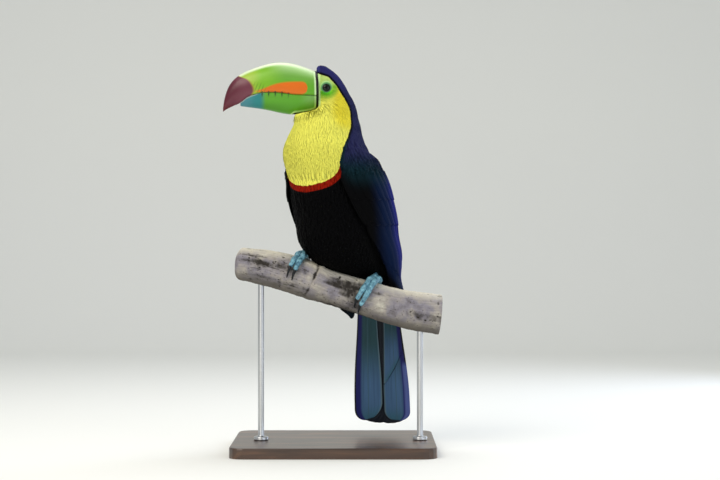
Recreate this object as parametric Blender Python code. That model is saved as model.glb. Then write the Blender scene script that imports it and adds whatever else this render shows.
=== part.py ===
"""A keel-billed toucan as a life-size still model, perched on a cut branch over a display stand.

The design is in millimetres and MM turns each mesh to metres. +Z is up, the camera side is -Y and the bill
points to -X. The origin is the centre of the stand's underside. The bird and the branch are laid out round
the branch's own axis, which runs along X, and an empty carries them to their place over the base.

Touching pieces keep GAP between them. Angles are degrees. A yaw of 0 faces -Y and a yaw of 90 faces -X.
"""

import math

import bmesh
import bpy
from mathutils import Vector

MM = 0.001
GAP = 0.35  # clearance between pieces that meet

# ---------------------------------------------------------------- driving dimensions
BASE_WIDTH = 232.0
BASE_DEPTH = 184.0
BASE_THICKNESS = 12.0
BASE_CORNER = 16.0
BASE_EDGE = 1.6
ROD_RADIUS = 3.5
ROD_COLLAR_RADIUS = 8.5
ROD_COLLAR_HEIGHT = 4.0
ROD_PLACES = {"left": -84.0, "right": 99.0}  # X of each rod
PERCH_OVER_BASE = (0.0, -13.0, 6.0)  # where the branch's own frame lies on the base

BODY_SEGMENTS = 28  # points round a section of the body
BODY_YAW = 37.0  # the breast faces between the camera and the bill's side
HEAD_YAW = 84.0  # the head is turned to full profile
TAIL_YAW = 24.0

# Sections of the body from the crown down to the root of the tail, one row each:
# height, x and y of the widest point, yaw, half width, reach to the front, reach to the back.
BODY_SECTIONS = {
    "crown_top": (434.4, -14.6, -22.0, HEAD_YAW, 1.2, 1.2, 1.2),
    "crown_cap": (434.0, -14.2, -22.0, HEAD_YAW, 4.8, 4.6, 4.4),
    "crown": (432.2, -13.4, -22.0, HEAD_YAW, 8.8, 8.4, 7.0),
    "forehead": (428.0, -11.8, -22.0, HEAD_YAW, 13.2, 12.0, 11.4),
    "brow": (423.0, -9.5, -22.0, HEAD_YAW, 16.2, 20.0, 14.8),
    "above_eye": (417.6, -7.2, -22.0, HEAD_YAW, 18.4, 29.0, 16.8),
    "eye": (411.0, -5.0, -22.0, HEAD_YAW, 20.4, 35.0, 18.8),
    "ear": (403.0, -3.4, -22.0, HEAD_YAW, 22.2, 40.0, 21.4),
    "cheek": (394.6, -3.6, -22.0, HEAD_YAW, 23.8, 42.5, 26.4),
    "jaw": (386.0, -6.0, -22.0, HEAD_YAW, 26.0, 43.5, 32.2),
    "throat": (377.0, -8.0, -21.4, 80.0, 29.0, 38.2, 36.6),
    "upper_neck": (368.0, -8.0, -20.6, 75.0, 33.0, 39.2, 39.6),
    "neck": (356.0, -9.0, -18.8, 67.0, 39.0, 44.4, 43.8),
    "bib": (343.0, -8.8, -16.2, 56.0, 45.6, 51.0, 48.6),
    "bib_swell": (331.0, -6.2, -12.8, 47.0, 49.6, 56.2, 51.6),
    "upper_breast": (318.0, -2.8, -8.2, 41.0, 51.2, 58.0, 52.8),
    "breast": (303.0, 2.4, 0.2, 38.0, 52.0, 60.0, 52.8),
    "back": (281.0, 6.8, 6.8, BODY_YAW, 53.4, 62.6, 53.6),
    "belly": (258.0, 11.4, 13.4, BODY_YAW, 53.2, 65.0, 53.4),
    "flank": (240.0, 15.0, 18.8, BODY_YAW, 51.6, 68.0, 51.6),
    "lower_belly": (224.0, 20.0, 25.0, BODY_YAW, 47.4, 67.0, 48.0),
    "vent": (207.0, 27.6, 34.0, BODY_YAW, 41.0, 58.0, 41.0),
    "rump": (193.0, 36.0, 43.8, 36.0, 34.6, 35.0, 33.0),
    "tail_head": (178.0, 43.0, 52.6, 33.0, 30.0, 19.0, 23.0),
    "tail_root": (160.0, 48.6, 59.4, 28.0, 27.0, 12.0, 14.0),
}
NECK_FROM_HEAD = 375.0  # heights of the cuts between the parts of the body
TRUNK_FROM_NECK = 344.0
TAIL_FROM_TRUNK = 161.0

# The folded wing lies on the body down to the flank, and hangs clear of the narrowing belly below it.
WING_SECTIONS = {
    name: row for name, row in BODY_SECTIONS.items() if 240.0 <= row[0] <= 356.0
} | {
    "secondaries": (222.0, 21.0, 25.6, BODY_YAW, 49.6, 56.0, 49.2),
    "tertials": (206.0, 27.4, 33.2, BODY_YAW, 45.0, 46.0, 42.0),
    "primaries": (190.0, 34.2, 41.4, BODY_YAW, 39.4, 32.0, 34.0),
    "primary_ends": (170.0, 41.0, 50.0, BODY_YAW, 41.0, 26.0, 31.0),
    "wing_tip": (142.0, 46.0, 57.4, BODY_YAW, 45.0, 20.0, 28.0),
}
# height, angle from the breast of the wing's leading edge and of its trailing edge, greatest thickness
WING_SPREAD = {
    "shoulder_top": (343.9, 88.0, 114.0, 1.2),
    "shoulder": (337.0, 77.0, 133.0, 3.2),
    "bend": (328.0, 66.0, 148.0, 5.4),
    "coverts": (306.0, 53.0, 160.0, 6.8),
    "mid_wing": (276.0, 58.0, 166.0, 7.0),
    "secondaries": (246.0, 70.0, 168.0, 7.0),
    "tertial_ends": (218.0, 81.0, 164.0, 6.4),
    "primaries": (194.0, 86.0, 152.0, 5.2),
    "primary_ends": (170.0, 80.0, 136.0, 4.0),
    "last_ends": (155.0, 74.0, 128.0, 3.2),
    "tip": (142.0, 102.0, 119.0, 2.4),
}
WING_EDGE = 1.0  # thickness at the wing's rim
WING_GAP = 1.7  # between the body's own surface and the wing's inner face
WING_POINTS = 11  # across the wing, on each face

# Bill, along the head's facing from the plane where it meets the face:
# distance out, height of the ridge, of the cutting edge, of the lower rim, half width.
BILL_BASE = (-18.6, -22.0)
BILL_SECTIONS = {
    "root": (0.0, 427.0, 399.0, 386.4, 18.4),
    "behind_nostril": (6.0, 429.6, 399.3, 382.6, 18.4),
    "rise": (18.0, 433.7, 399.9, 380.0, 17.9),
    "arch": (30.0, 436.6, 400.6, 378.8, 17.2),
    "summit": (42.5, 437.5, 402.3, 380.5, 16.2),
    "middle": (54.0, 436.1, 402.8, 383.0, 15.0),
    "fall": (66.0, 432.6, 402.0, 385.0, 13.4),
    "before_tip": (78.0, 428.2, 398.4, 386.5, 11.4),
    "hook_start": (86.0, 424.2, 392.8, 387.6, 9.8),
    "hook": (92.0, 420.2, 389.2, 388.8, 8.2),
    "hook_bend": (98.0, 413.8, 386.6, 386.2, 6.2),
    "hook_end": (102.4, 405.6, 384.4, 384.0, 4.4),
    "before_point": (105.4, 395.4, 382.4, 382.0, 2.8),
    "tip": (106.9, 385.4, 381.2, 380.9, 1.2),
}
LOWER_BILL_ENDS = 87.2
LOWER_BILL_NARROWER = 0.6  # the upper half of the bill overhangs the lower one
BILL_RIM = 0.7  # height of the raised band where the bill meets the face
BILL_RIM_WIDTH = 2.4
BILL_LEAN = -0.03  # the root's plane leans forward by this much for each millimetre of height
BILL_LEAN_FADES = 40.0

EYE_RADIUS = 6.5
EYE_HEIGHT = 407.5
EYE_FORWARD = 6.0  # in front of the head's widest point
EYE_STANDS_OUT = 1.5

# Branch: x, y and height of its axis, and radius.
PERCH_SECTIONS = {
    "free_end": (-114.0, 4.0, 210.0, 19.2),
    "upper": (-78.0, 2.0, 204.6, 20.4),
    "right_foot": (-40.0, 0.0, 194.4, 21.4),
    "dip": (-4.0, -1.0, 181.2, 20.0),
    "left_foot": (40.0, 0.0, 167.8, 21.2),
    "lower": (80.0, 2.0, 157.6, 21.4),
    "cut_end": (122.0, 6.0, 150.0, 23.6),
}
PERCH_SEGMENTS = 18

# Each toe of the two feet: start and end angle round the branch from its top, how far along the branch
# it lies at its root and at its tip, and the length of its claw.
# Positive angles run down the camera's side, negative ones down the back.
TOES = {
    "right": {
        "outer_front": (-8.0, 70.0, -2.6, -8.6, 12.0),
        "inner_front": (-8.0, 76.0, 2.6, -2.2, 11.0),
        "outer_back": (8.0, -76.0, -2.6, -6.0, 11.0),
        "inner_back": (8.0, -52.0, 2.6, 6.0, 9.5),
    },
    "left": {
        "outer_front": (-8.0, 112.0, 2.6, -11.0, 12.0),
        "inner_front": (-8.0, 98.0, -2.6, -17.0, 11.0),
        "outer_back": (8.0, -76.0, 2.6, 7.0, 11.0),
        "inner_back": (8.0, -52.0, -2.6, -5.0, 9.5),
    },
}
TOE_ROOT_RADIUS = 3.5
TOE_TIP_RADIUS = 2.5
TOE_KNUCKLE = 0.35  # how far each joint swells
CLAW_RADIUS = 1.9
CLAW_LIFT = 1.6  # a claw arches this far off the bark
TARSUS_RADIUS = 3.5
# foot's x on the branch, and the point inside the belly that the leg comes down from
LEGS = {"right": (-43.0, (-20.0, 18.0, 246.0)), "left": (42.0, (46.0, 22.0, 226.0))}
TARSUS_SHARE = 0.45  # how far up this line the bare leg runs, inside the belly's feathers
TAIL_ROOT_AT = (52.6, 63.0, 160.0)
TAIL_TIP_HEIGHT = 18.6
TAIL_DRIFT = 3.6  # the tail's end lies this far to +X of its root
TAIL_PAIRS = 5
TAIL_LAYER = 0.45  # each feather lies this far behind the one below it
TAIL_FEATHER_THICKNESS = 1.3
TAIL_FEATHER_ROOT_WIDTH = 27.0
TAIL_FEATHER_WIDTH = 31.0
TAIL_TIP_SPREAD = 20.4  # middle of the outermost feather, from the tail's middle line
TAIL_ROOT_SPREAD = 14.5
TAIL_LEFT_ROOT_SPREAD = 11.0  # the left half rises closer to the middle and fans out further down
TAIL_STEP = 1.8  # each outer pair is this much shorter
TAIL_COVERTS_END = 145.0

COLOURS = {  # base colour, roughness, metallic
    "black_plumage": ((0.012, 0.014, 0.022), 0.55, 0.0),
    "blue_black_plumage": ((0.010, 0.016, 0.045), 0.5, 0.0),
    "bib_plumage": ((0.78, 0.74, 0.09), 0.7, 0.0),
    "tail_plumage": ((0.030, 0.060, 0.090), 0.5, 0.0),
    "green_bill": ((0.20, 0.48, 0.06), 0.35, 0.0),
    "eye": ((0.02, 0.02, 0.01), 0.08, 0.0),
    "blue_leg": ((0.18, 0.50, 0.60), 0.55, 0.0),
    "claw": ((0.015, 0.018, 0.022), 0.35, 0.0),
    "bark": ((0.30, 0.27, 0.23), 0.9, 0.0),
    "stand_wood": ((0.045, 0.028, 0.018), 0.4, 0.0),
    "stand_steel": ((0.55, 0.55, 0.56), 0.3, 1.0),
}


# ---------------------------------------------------------------- small tools
def clear_scene():
    for obj in list(bpy.data.objects):
        bpy.data.objects.remove(obj)


def material(name):
    made = bpy.data.materials.get(name)
    if made is None:
        colour, roughness, metallic = COLOURS[name]
        made = bpy.data.materials.new(name)
        made.use_nodes = True
        shader = made.node_tree.nodes["Principled BSDF"]
        shader.inputs["Base Color"].default_value = (*colour, 1.0)
        shader.inputs["Roughness"].default_value = roughness
        shader.inputs["Metallic"].default_value = metallic
    return made


def facing(yaw):
    """(forward, left) as level unit vectors for a yaw in degrees."""
    angle = math.radians(yaw)
    forward = Vector((-math.sin(angle), -math.cos(angle), 0.0))
    left = Vector((math.cos(angle), -math.sin(angle), 0.0))
    return forward, left


def smooth_rows(rows, per_span):
    """Rows of numbers on a Catmull-Rom curve through the given rows."""
    rows = [list(row) for row in rows]
    ends = [rows[0]] + rows + [rows[-1]]
    made = []
    for before, start, end, after in zip(ends, ends[1:], ends[2:], ends[3:]):
        for step in range(per_span):
            t = step / per_span
            made.append([
                0.5 * (2 * b + (c - a) * t + (2 * a - 5 * b + 4 * c - d) * t * t
                       + (3 * b - a - 3 * c + d) * t ** 3)
                for a, b, c, d in zip(before, start, end, after)
            ])
    return made + [rows[-1]]


def row_at(rows, key):
    """The row whose first number is key, between the two rows on either side of it."""
    rows = sorted(rows)
    key = min(max(key, rows[0][0]), rows[-1][0])
    for low, high in zip(rows, rows[1:]):
        if low[0] <= key <= high[0]:
            share = (key - low[0]) / max(high[0] - low[0], 1e-9)
            return [a + (b - a) * share for a, b in zip(low, high)]
    return rows[-1]


def object_from(name, bm, finish, smooth_angle=40.0):
    bmesh.ops.recalc_face_normals(bm, faces=bm.faces)
    mesh = bpy.data.meshes.new(name)
    bm.to_mesh(mesh)
    bm.free()
    mesh.shade_smooth()
    mesh.set_sharp_from_angle(angle=math.radians(smooth_angle))
    mesh.materials.append(material(finish))
    obj = bpy.data.objects.new(name, mesh)
    bpy.context.collection.objects.link(obj)
    return obj


def loft(bm, rings):
    """Adds one closed shape through rings of equal length, capped at both ends."""
    loops = [[bm.verts.new(Vector(point) * MM) for point in ring] for ring in rings]
    for low, high in zip(loops, loops[1:]):
        for i in range(len(low)):
            j = (i + 1) % len(low)
            bm.faces.new((low[i], low[j], high[j], high[i]))
    bm.faces.new(loops[0])
    bm.faces.new(loops[-1])


def lofted(name, rings, finish):
    bm = bmesh.new()
    loft(bm, rings)
    return object_from(name, bm, finish)


def tube_rings(path, radii, segments):
    """Rings square to a path of points, each with its own radius."""
    rings = []
    path = [Vector(point) for point in path]
    side = None
    for i, point in enumerate(path):
        ahead = (path[min(i + 1, len(path) - 1)] - path[max(i - 1, 0)]).normalized()
        if side is None:
            side = ahead.orthogonal().normalized()
        side = (side - ahead * side.dot(ahead)).normalized()
        up = ahead.cross(side)
        rings.append([
            point + radii[i] * (side * math.cos(turn) + up * math.sin(turn))
            for turn in (2 * math.pi * k / segments for k in range(segments))
        ])
    return rings


def as_cutter(obj):
    obj.hide_render = True
    obj.display_type = "WIRE"
    return obj


def combine(obj, other, operation):
    """A live Boolean between two objects."""
    modifier = obj.modifiers.new(operation.lower() + "_" + other.name, "BOOLEAN")
    modifier.operation = operation
    modifier.solver = "EXACT"
    modifier.object = as_cutter(other)


# ---------------------------------------------------------------- body
def body_point(section, angle, outward=0.0):
    """A point on a section of the body, at an angle from the breast towards the bird's left."""
    height, x, y, yaw, half_width, front, back = section
    forward, left = facing(yaw)
    across, along = math.sin(angle), math.cos(angle)
    depth = front if along > 0 else back
    return (Vector((x, y, height))
            + left * across * (half_width + outward)
            + forward * along * (depth + outward))


BODY_ROWS = smooth_rows(BODY_SECTIONS.values(), 10)
WING_ROWS = smooth_rows(WING_SECTIONS.values(), 10)


def body_rings(heights, outward=0.0):
    turns = [2 * math.pi * k / BODY_SEGMENTS for k in range(BODY_SEGMENTS)]
    return [
        [body_point(row_at(BODY_ROWS, height), turn, outward) for turn in turns]
        for height in heights
    ]


def heights_between(top, bottom, step):
    count = max(1, round((top - bottom) / step))
    return [top + (bottom - top) * k / count for k in range(count + 1)]


def crown_heights():
    """Rings that crowd together towards the top of the crown, so that it closes round."""
    top = BODY_SECTIONS["crown_top"][0]
    brow = BODY_SECTIONS["brow"][0]
    dome = [top - (top - brow) * (1 - math.cos(math.pi / 2 * k / 6)) for k in range(6)]
    return dome + heights_between(brow, NECK_FROM_HEAD + GAP / 2, 6.0)


def make_head():
    head = lofted("head", body_rings(crown_heights()), "bib_plumage")
    combine(head, bill_cutter(), "DIFFERENCE")
    for side, sign in (("left", 1), ("right", -1)):
        socket = eye_ball("eye_socket_" + side, sign, EYE_RADIUS + GAP)
        combine(head, socket, "DIFFERENCE")


def make_neck():
    heights = heights_between(NECK_FROM_HEAD - GAP / 2, TRUNK_FROM_NECK + GAP / 2, 6.0)
    lofted("neck", body_rings(heights), "bib_plumage")


def trunk_heights():
    return heights_between(TRUNK_FROM_NECK - GAP / 2, TAIL_FROM_TRUNK, 9.0)


def make_trunk():
    trunk = lofted("trunk", body_rings(trunk_heights()), "black_plumage")
    combine(trunk, perch_cutter("perch_under_belly"), "DIFFERENCE")


def perch_cutter(name):
    """The branch grown by the gap, for what sits on it or passes behind it."""
    return as_cutter(lofted(name, perch_rings(GAP * 1.4), "bark"))


def trunk_cutter(name):
    """The trunk grown by the gap, for what meets it from outside."""
    heights = heights_between(TRUNK_FROM_NECK, TAIL_FROM_TRUNK, 9.0)
    return as_cutter(lofted(name, body_rings(heights, outward=GAP * 1.4), "black_plumage"))


# ---------------------------------------------------------------- wings
def wing_ring(height, sign):
    """A crescent round the body's side: its outer face, then back along its inner face."""
    spread = row_at(smooth_rows(WING_SPREAD.values(), 6), height)
    section = row_at(WING_ROWS, height)
    outer, inner = [], []
    for k in range(WING_POINTS):
        share = k / (WING_POINTS - 1)
        angle = sign * math.radians(spread[1] + (spread[2] - spread[1]) * share)
        swell = math.sin(math.pi * share) ** 0.6
        thickness = WING_EDGE + (spread[3] - WING_EDGE) * swell
        inner.append(body_point(section, angle, WING_GAP))
        outer.append(body_point(section, angle, WING_GAP + thickness))
    return outer + inner[::-1]


def make_wing(side, sign):
    top, tip = WING_SPREAD["shoulder_top"][0], WING_SPREAD["tip"][0]
    on_body = [height for height in trunk_heights() if tip < height < top]
    below = heights_between(on_body[-1], tip, 6.5)[1:]
    rings = [wing_ring(height, sign) for height in on_body + below]
    wing = lofted("wing_" + side, rings, "blue_black_plumage")
    combine(wing, perch_cutter("perch_before_wing_" + side), "DIFFERENCE")


# ---------------------------------------------------------------- bill
BILL_ROWS = smooth_rows(BILL_SECTIONS.values(), 8)


def bill_place(out, across, height):
    """A point of the bill. Near the root the sections lean as the bill's root does."""
    forward, left = facing(HEAD_YAW)
    lean = BILL_LEAN * max(0.0, 1.0 - out / BILL_LEAN_FADES)
    root = BILL_SECTIONS["root"][2]
    out -= lean * (height - root)
    return Vector((*BILL_BASE, 0.0)) + forward * out + left * across + Vector((0, 0, height))


def bill_section(out):
    """(middle height, half height, cutting edge height, half width) of the closed bill."""
    _, ridge, edge, rim, half_width = row_at(BILL_ROWS, out)
    return (ridge + rim) / 2, (ridge - rim) / 2, edge, half_width


def bill_arc(out, above, grow, points=13):
    """The part of the bill's oval above or below the cutting edge, from one side to the other."""
    middle, half_height, edge, half_width = bill_section(out)
    half_height += grow
    if above:
        half_width += grow
    else:
        half_width += grow - min(LOWER_BILL_NARROWER, half_width * 0.1)
        edge -= GAP
    start = math.asin(min(max((edge - middle) / half_height, -0.98), 0.98))
    finish = math.pi - start if above else -math.pi - start
    ring = []
    for k in range(points):
        turn = start + (finish - start) * k / (points - 1)
        ring.append(bill_place(out, half_width * math.cos(turn), middle + half_height * math.sin(turn)))
    return ring


def bill_stations(end, count):
    """(distance out, extra size): the raised rim at the root, then sections closer together at the tip."""
    rim = [(0.0, BILL_RIM), (BILL_RIM_WIDTH, BILL_RIM), (BILL_RIM_WIDTH + 0.3, 0.0)]
    first = BILL_RIM_WIDTH + 0.3
    rest = [(first + (end - first) * math.sin(math.pi / 2 * k / count), 0.0) for k in range(1, count + 1)]
    return rim + rest


def make_bill():
    tip = BILL_SECTIONS["tip"][0]
    upper = [bill_arc(out, True, grow) for out, grow in bill_stations(tip, 18)]
    lower = [bill_arc(out, False, grow) for out, grow in bill_stations(LOWER_BILL_ENDS, 13)]
    lofted("bill_upper", upper, "green_bill")
    lofted("bill_lower", lower, "green_bill")


def bill_cutter():
    """Clears the face in front of the bill's root: round the lower rim closely, and all above it."""
    room = 14.0
    rings = []
    for out in (-GAP, 2.0, 4.0, 6.5, 9.0, 13.0, 18.0, 24.0, 31.0, 40.0, 52.0):
        middle, half_height, _, half_width = bill_section(out)
        close = BILL_RIM + GAP * 1.4
        ring = []
        for k in range(11):
            turn = math.radians(-110 + 4 * k)
            ring.append(bill_place(out, (half_width + close) * math.cos(turn),
                                   middle + (half_height + close) * math.sin(turn)))
        shelf = middle - (half_height + close) * math.sin(math.radians(70))
        for across, height in ((1, shelf), (1, middle + half_height), (-1, middle + half_height), (-1, shelf)):
            rise = room if height > middle else 0.0
            ring.append(bill_place(out, across * (half_width + room), height + rise))
        rings.append(ring)
    return as_cutter(lofted("bill_room", rings, "green_bill"))


# ---------------------------------------------------------------- eyes
def eye_centre(sign):
    section = row_at(BODY_ROWS, EYE_HEIGHT)
    forward, left = facing(HEAD_YAW)
    share = EYE_FORWARD / section[5]
    face = section[4] * math.sqrt(1 - share * share)
    across = face + EYE_STANDS_OUT - EYE_RADIUS
    return Vector(section[1:3] + [EYE_HEIGHT]) + forward * EYE_FORWARD + left * sign * across


def eye_ball(name, sign, radius):
    bm = bmesh.new()
    bmesh.ops.create_uvsphere(bm, u_segments=14, v_segments=8, radius=radius * MM)
    bmesh.ops.translate(bm, verts=bm.verts, vec=eye_centre(sign) * MM)
    return object_from(name, bm, "eye")


# ---------------------------------------------------------------- branch
PERCH_ROWS = smooth_rows(PERCH_SECTIONS.values(), 8)


def perch_frame(x):
    """(axis point, direction along, direction up, radius) of the branch."""
    row = row_at(PERCH_ROWS, x)
    low, high = row_at(PERCH_ROWS, x - 2), row_at(PERCH_ROWS, x + 2)
    along = (Vector(high[:3]) - Vector(low[:3])).normalized()
    up = (Vector((0, 0, 1)) - along * along.z).normalized()
    return Vector(row[:3]), along, up, row[3]


def perch_rings(grow=0.0):
    first, last = PERCH_SECTIONS["free_end"][0], PERCH_SECTIONS["cut_end"][0]
    stops = [first + (last - first) * k / 16 for k in range(17)]
    path = [perch_frame(x)[0] for x in stops]
    return tube_rings(path, [perch_frame(x)[3] + grow for x in stops], PERCH_SEGMENTS)


def make_perch():
    lofted("perch_branch", perch_rings(), "bark")


# ---------------------------------------------------------------- legs
def toe_path(foot_x, start, end, splay_root, splay_tip, lift, count):
    """Points round the branch from one angle to another, lift above the bark."""
    axis, along, up, radius = perch_frame(foot_x)
    front = along.cross(up)
    if front.y > 0:
        front = -front
    points = []
    for k in range(count):
        share = k / (count - 1)
        angle = math.radians(start + (end - start) * share)
        out = radius + lift(share)
        splay = splay_root + (splay_tip - splay_root) * share
        points.append(axis + along * splay + out * (up * math.cos(angle) + front * math.sin(angle)))
    return points


def toe_radius(share):
    """A toe tapers, with a swelling at each of its joints."""
    taper = TOE_ROOT_RADIUS + (TOE_TIP_RADIUS - TOE_ROOT_RADIUS) * share
    return taper + TOE_KNUCKLE * math.cos(math.pi * 3 * share) ** 2


def make_toe(name, foot_x, toe):
    start, end, root_splay, tip_splay, _ = toe
    count = 9
    path = toe_path(foot_x, start, end, root_splay, tip_splay,
                    lambda share: toe_radius(share) + GAP * 1.5, count)
    radii = [toe_radius(k / (count - 1)) for k in range(count)]
    return lofted(name, tube_rings(path, radii, 6), "blue_leg")


def make_claw(name, foot_x, toe):
    """Starts a gap past the toe's end, arches off the bark and comes down to it."""
    _, end, _, splay, length = toe
    radius = perch_frame(foot_x)[3]
    sign = math.copysign(1.0, end)
    start = end + sign * math.degrees(GAP * 3 / radius)
    stop = start + sign * math.degrees(length / radius)
    count = 6

    def thickness(share):
        return CLAW_RADIUS * (1 - share) ** 0.8 + 0.25

    def lift(share):
        return thickness(share) + GAP * 1.6 + CLAW_LIFT * math.sin(math.pi * share) * (1 - share * 0.5)

    path = toe_path(foot_x, start, stop, splay, splay, lift, count)
    radii = [thickness(k / (count - 1)) for k in range(count)]
    lofted(name, tube_rings(path, radii, 7), "claw")


def make_leg(side, foot_x, hip):
    """The bare leg with its toes. Its top stops at the belly, whose feathers hide the thigh."""
    axis, _, up, radius = perch_frame(foot_x)
    sole = axis + up * (radius + TOE_ROOT_RADIUS + GAP * 1.5)
    cuff = sole.lerp(Vector(hip), TARSUS_SHARE)
    radii = [TARSUS_RADIUS + 0.9, TARSUS_RADIUS, TARSUS_RADIUS]
    leg = lofted("leg_" + side, tube_rings([sole, sole.lerp(cuff, 0.5), cuff], radii, 10), "blue_leg")
    for toe, numbers in TOES[side].items():
        name = toe + "_" + side
        combine(leg, make_toe("toe_" + name, foot_x, numbers), "UNION")
        make_claw("claw_" + name, foot_x, numbers)
    combine(leg, trunk_cutter("trunk_over_leg_" + side), "DIFFERENCE")


# ---------------------------------------------------------------- tail
def tail_place(across, back, height):
    """A point of the tail: across it to the bird's left, back from its underside, and its height."""
    _, left = facing(TAIL_YAW)
    forward, _ = facing(TAIL_YAW)
    x, y, top = TAIL_ROOT_AT
    drift = TAIL_DRIFT * (top - height) / (top - TAIL_TIP_HEIGHT)
    return Vector((x + drift, y, height)) + left * across - forward * back


def tail_feather_outline(pair, sign):
    """(across, height) points round one feather, down one edge and up the other round the tip."""
    share = pair / (TAIL_PAIRS - 1)  # 0 for the middle pair, 1 for the outermost
    root_at = sign * (TAIL_ROOT_SPREAD if sign < 0 else TAIL_LEFT_ROOT_SPREAD) * share
    tip_at = sign * (6.0 + (TAIL_TIP_SPREAD - 6.0) * share)
    top = TAIL_ROOT_AT[2] - 9.3
    tip = TAIL_TIP_HEIGHT + TAIL_STEP * share ** 2 * (TAIL_PAIRS - 1) / 2
    half = TAIL_FEATHER_WIDTH / 2
    bend = tip + half * 0.8  # where the rounded tip begins
    outline = [(root_at - TAIL_FEATHER_ROOT_WIDTH / 2, top)]
    outline.append(((root_at + tip_at * 1.2) / 2.2 - half * 0.95, (top + bend) / 2))
    for k in range(7):
        turn = math.pi * (1 + k / 6)
        outline.append((tip_at + half * math.cos(turn), bend + (bend - tip) * math.sin(turn)))
    outline.append(((root_at + tip_at * 1.2) / 2.2 + half * 0.95, (top + bend) / 2))
    outline.append((root_at + TAIL_FEATHER_ROOT_WIDTH / 2, top))
    return outline


def tail_feather(name, pair, sign, back):
    outline = tail_feather_outline(pair, sign)
    rings = [[tail_place(across, depth, height) for across, height in outline]
             for depth in (back, back + TAIL_FEATHER_THICKNESS)]
    return lofted(name, rings, "tail_plumage")


def make_tail():
    """The coverts round the tail's root, joined with five pairs of feathers, the outermost underneath."""
    low, high = TAIL_COVERTS_END, TAIL_FROM_TRUNK - GAP
    depth = TAIL_LAYER * (2 * TAIL_PAIRS - 1) + TAIL_FEATHER_THICKNESS
    rings = []
    for height in heights_between(high, low, 7.0):
        share = (high - height) / (high - low)
        section = row_at(BODY_ROWS, high)
        slim = math.cos(math.pi / 2 * share) ** 0.8
        half_width = 19.0 + (section[4] - 19.0) * slim
        front = depth / 2 + 0.7 + (section[5] - depth / 2) * slim
        back = depth / 2 + 0.7 + (section[6] - depth / 2) * slim
        middle = tail_place(0.0, depth / 2, height)
        start = Vector((section[1], section[2], height))
        middle = middle.lerp(start, slim)
        yaw = TAIL_YAW + (section[3] - TAIL_YAW) * slim
        shape = (height, middle.x, middle.y, yaw, half_width, front, back)
        rings.append([body_point(shape, 2 * math.pi * k / 20) for k in range(20)])
    tail = lofted("tail", rings, "tail_plumage")
    layer = 0
    for pair in reversed(range(TAIL_PAIRS)):
        for sign in (1, -1):
            feather = tail_feather(f"tail_feather_{pair}_{sign}", pair, sign, layer * TAIL_LAYER)
            combine(tail, feather, "UNION")
            layer += 1


# ---------------------------------------------------------------- stand
def make_base():
    bm = bmesh.new()
    bmesh.ops.create_cube(bm, size=1.0)
    size = Vector((BASE_WIDTH, BASE_DEPTH, BASE_THICKNESS)) * MM
    bmesh.ops.scale(bm, vec=size, verts=bm.verts)
    bmesh.ops.translate(bm, vec=(0, 0, size.z / 2), verts=bm.verts)
    uprights = [e for e in bm.edges if abs(e.verts[0].co.z - e.verts[1].co.z) > size.z / 2]
    bmesh.ops.bevel(bm, geom=uprights, offset=BASE_CORNER * MM, segments=4, affect="EDGES", profile=0.5)
    rim = [e for e in bm.edges if min(v.co.z for v in e.verts) > size.z * 0.9]
    bmesh.ops.bevel(bm, geom=rim, offset=BASE_EDGE * MM, segments=2, affect="EDGES", profile=0.5)
    object_from("stand_base", bm, "stand_wood")


def make_rod(side, x):
    """A turned rod with a collar on the base, its top fitted to the branch's underside."""
    axis = perch_frame(x)[0]
    low = BASE_THICKNESS + GAP - PERCH_OVER_BASE[2]
    profile = [(ROD_COLLAR_RADIUS - 0.8, low), (ROD_COLLAR_RADIUS, low + 0.8),
               (ROD_COLLAR_RADIUS, low + ROD_COLLAR_HEIGHT - 0.8),
               (ROD_COLLAR_RADIUS - 0.8, low + ROD_COLLAR_HEIGHT),
               (ROD_RADIUS, low + ROD_COLLAR_HEIGHT), (ROD_RADIUS, axis.z)]
    rings = [[(axis.x + r * math.cos(turn), axis.y + r * math.sin(turn), z)
              for turn in (2 * math.pi * k / 16 for k in range(16))] for r, z in profile]
    rod = lofted("stand_rod_" + side, rings, "stand_steel")
    combine(rod, perch_cutter("perch_over_rod_" + side), "DIFFERENCE")


def carry_to_base():
    """Everything but the base hangs from one empty over it, so that the cutters move with what they cut."""
    carrier = bpy.data.objects.new("carrier", None)
    bpy.context.collection.objects.link(carrier)
    carrier.location = Vector(PERCH_OVER_BASE) * MM
    for obj in bpy.data.objects:
        if obj.type == "MESH" and obj.name != "stand_base":
            obj.parent = carrier


def main():
    clear_scene()
    make_head()
    make_neck()
    make_trunk()
    make_bill()
    for side, sign in (("left", 1), ("right", -1)):
        eye_ball("eye_" + side, sign, EYE_RADIUS)
        make_wing(side, sign)
    make_perch()
    for side, (foot_x, hip) in LEGS.items():
        make_leg(side, foot_x, hip)
    make_tail()
    make_base()
    for side, x in ROD_PLACES.items():
        make_rod(side, x)
    carry_to_base()


main()
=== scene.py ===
# %% [markdown]
# # A keel-billed toucan as a still, life-size model
#
# A museum shows a bird as a body of feathers over a form, on a branch over a plain stand. This script dresses
# the solids of such a model: one skin under the plumage, thousands of thin vanes that lie along it, a horn
# bill, glass eyes, scaled feet, bark and a display stand. Nothing moves, so every piece rides on one body,
# "root".

import math

import bmesh
import bpy
import numpy as np
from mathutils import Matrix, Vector, noise


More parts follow.
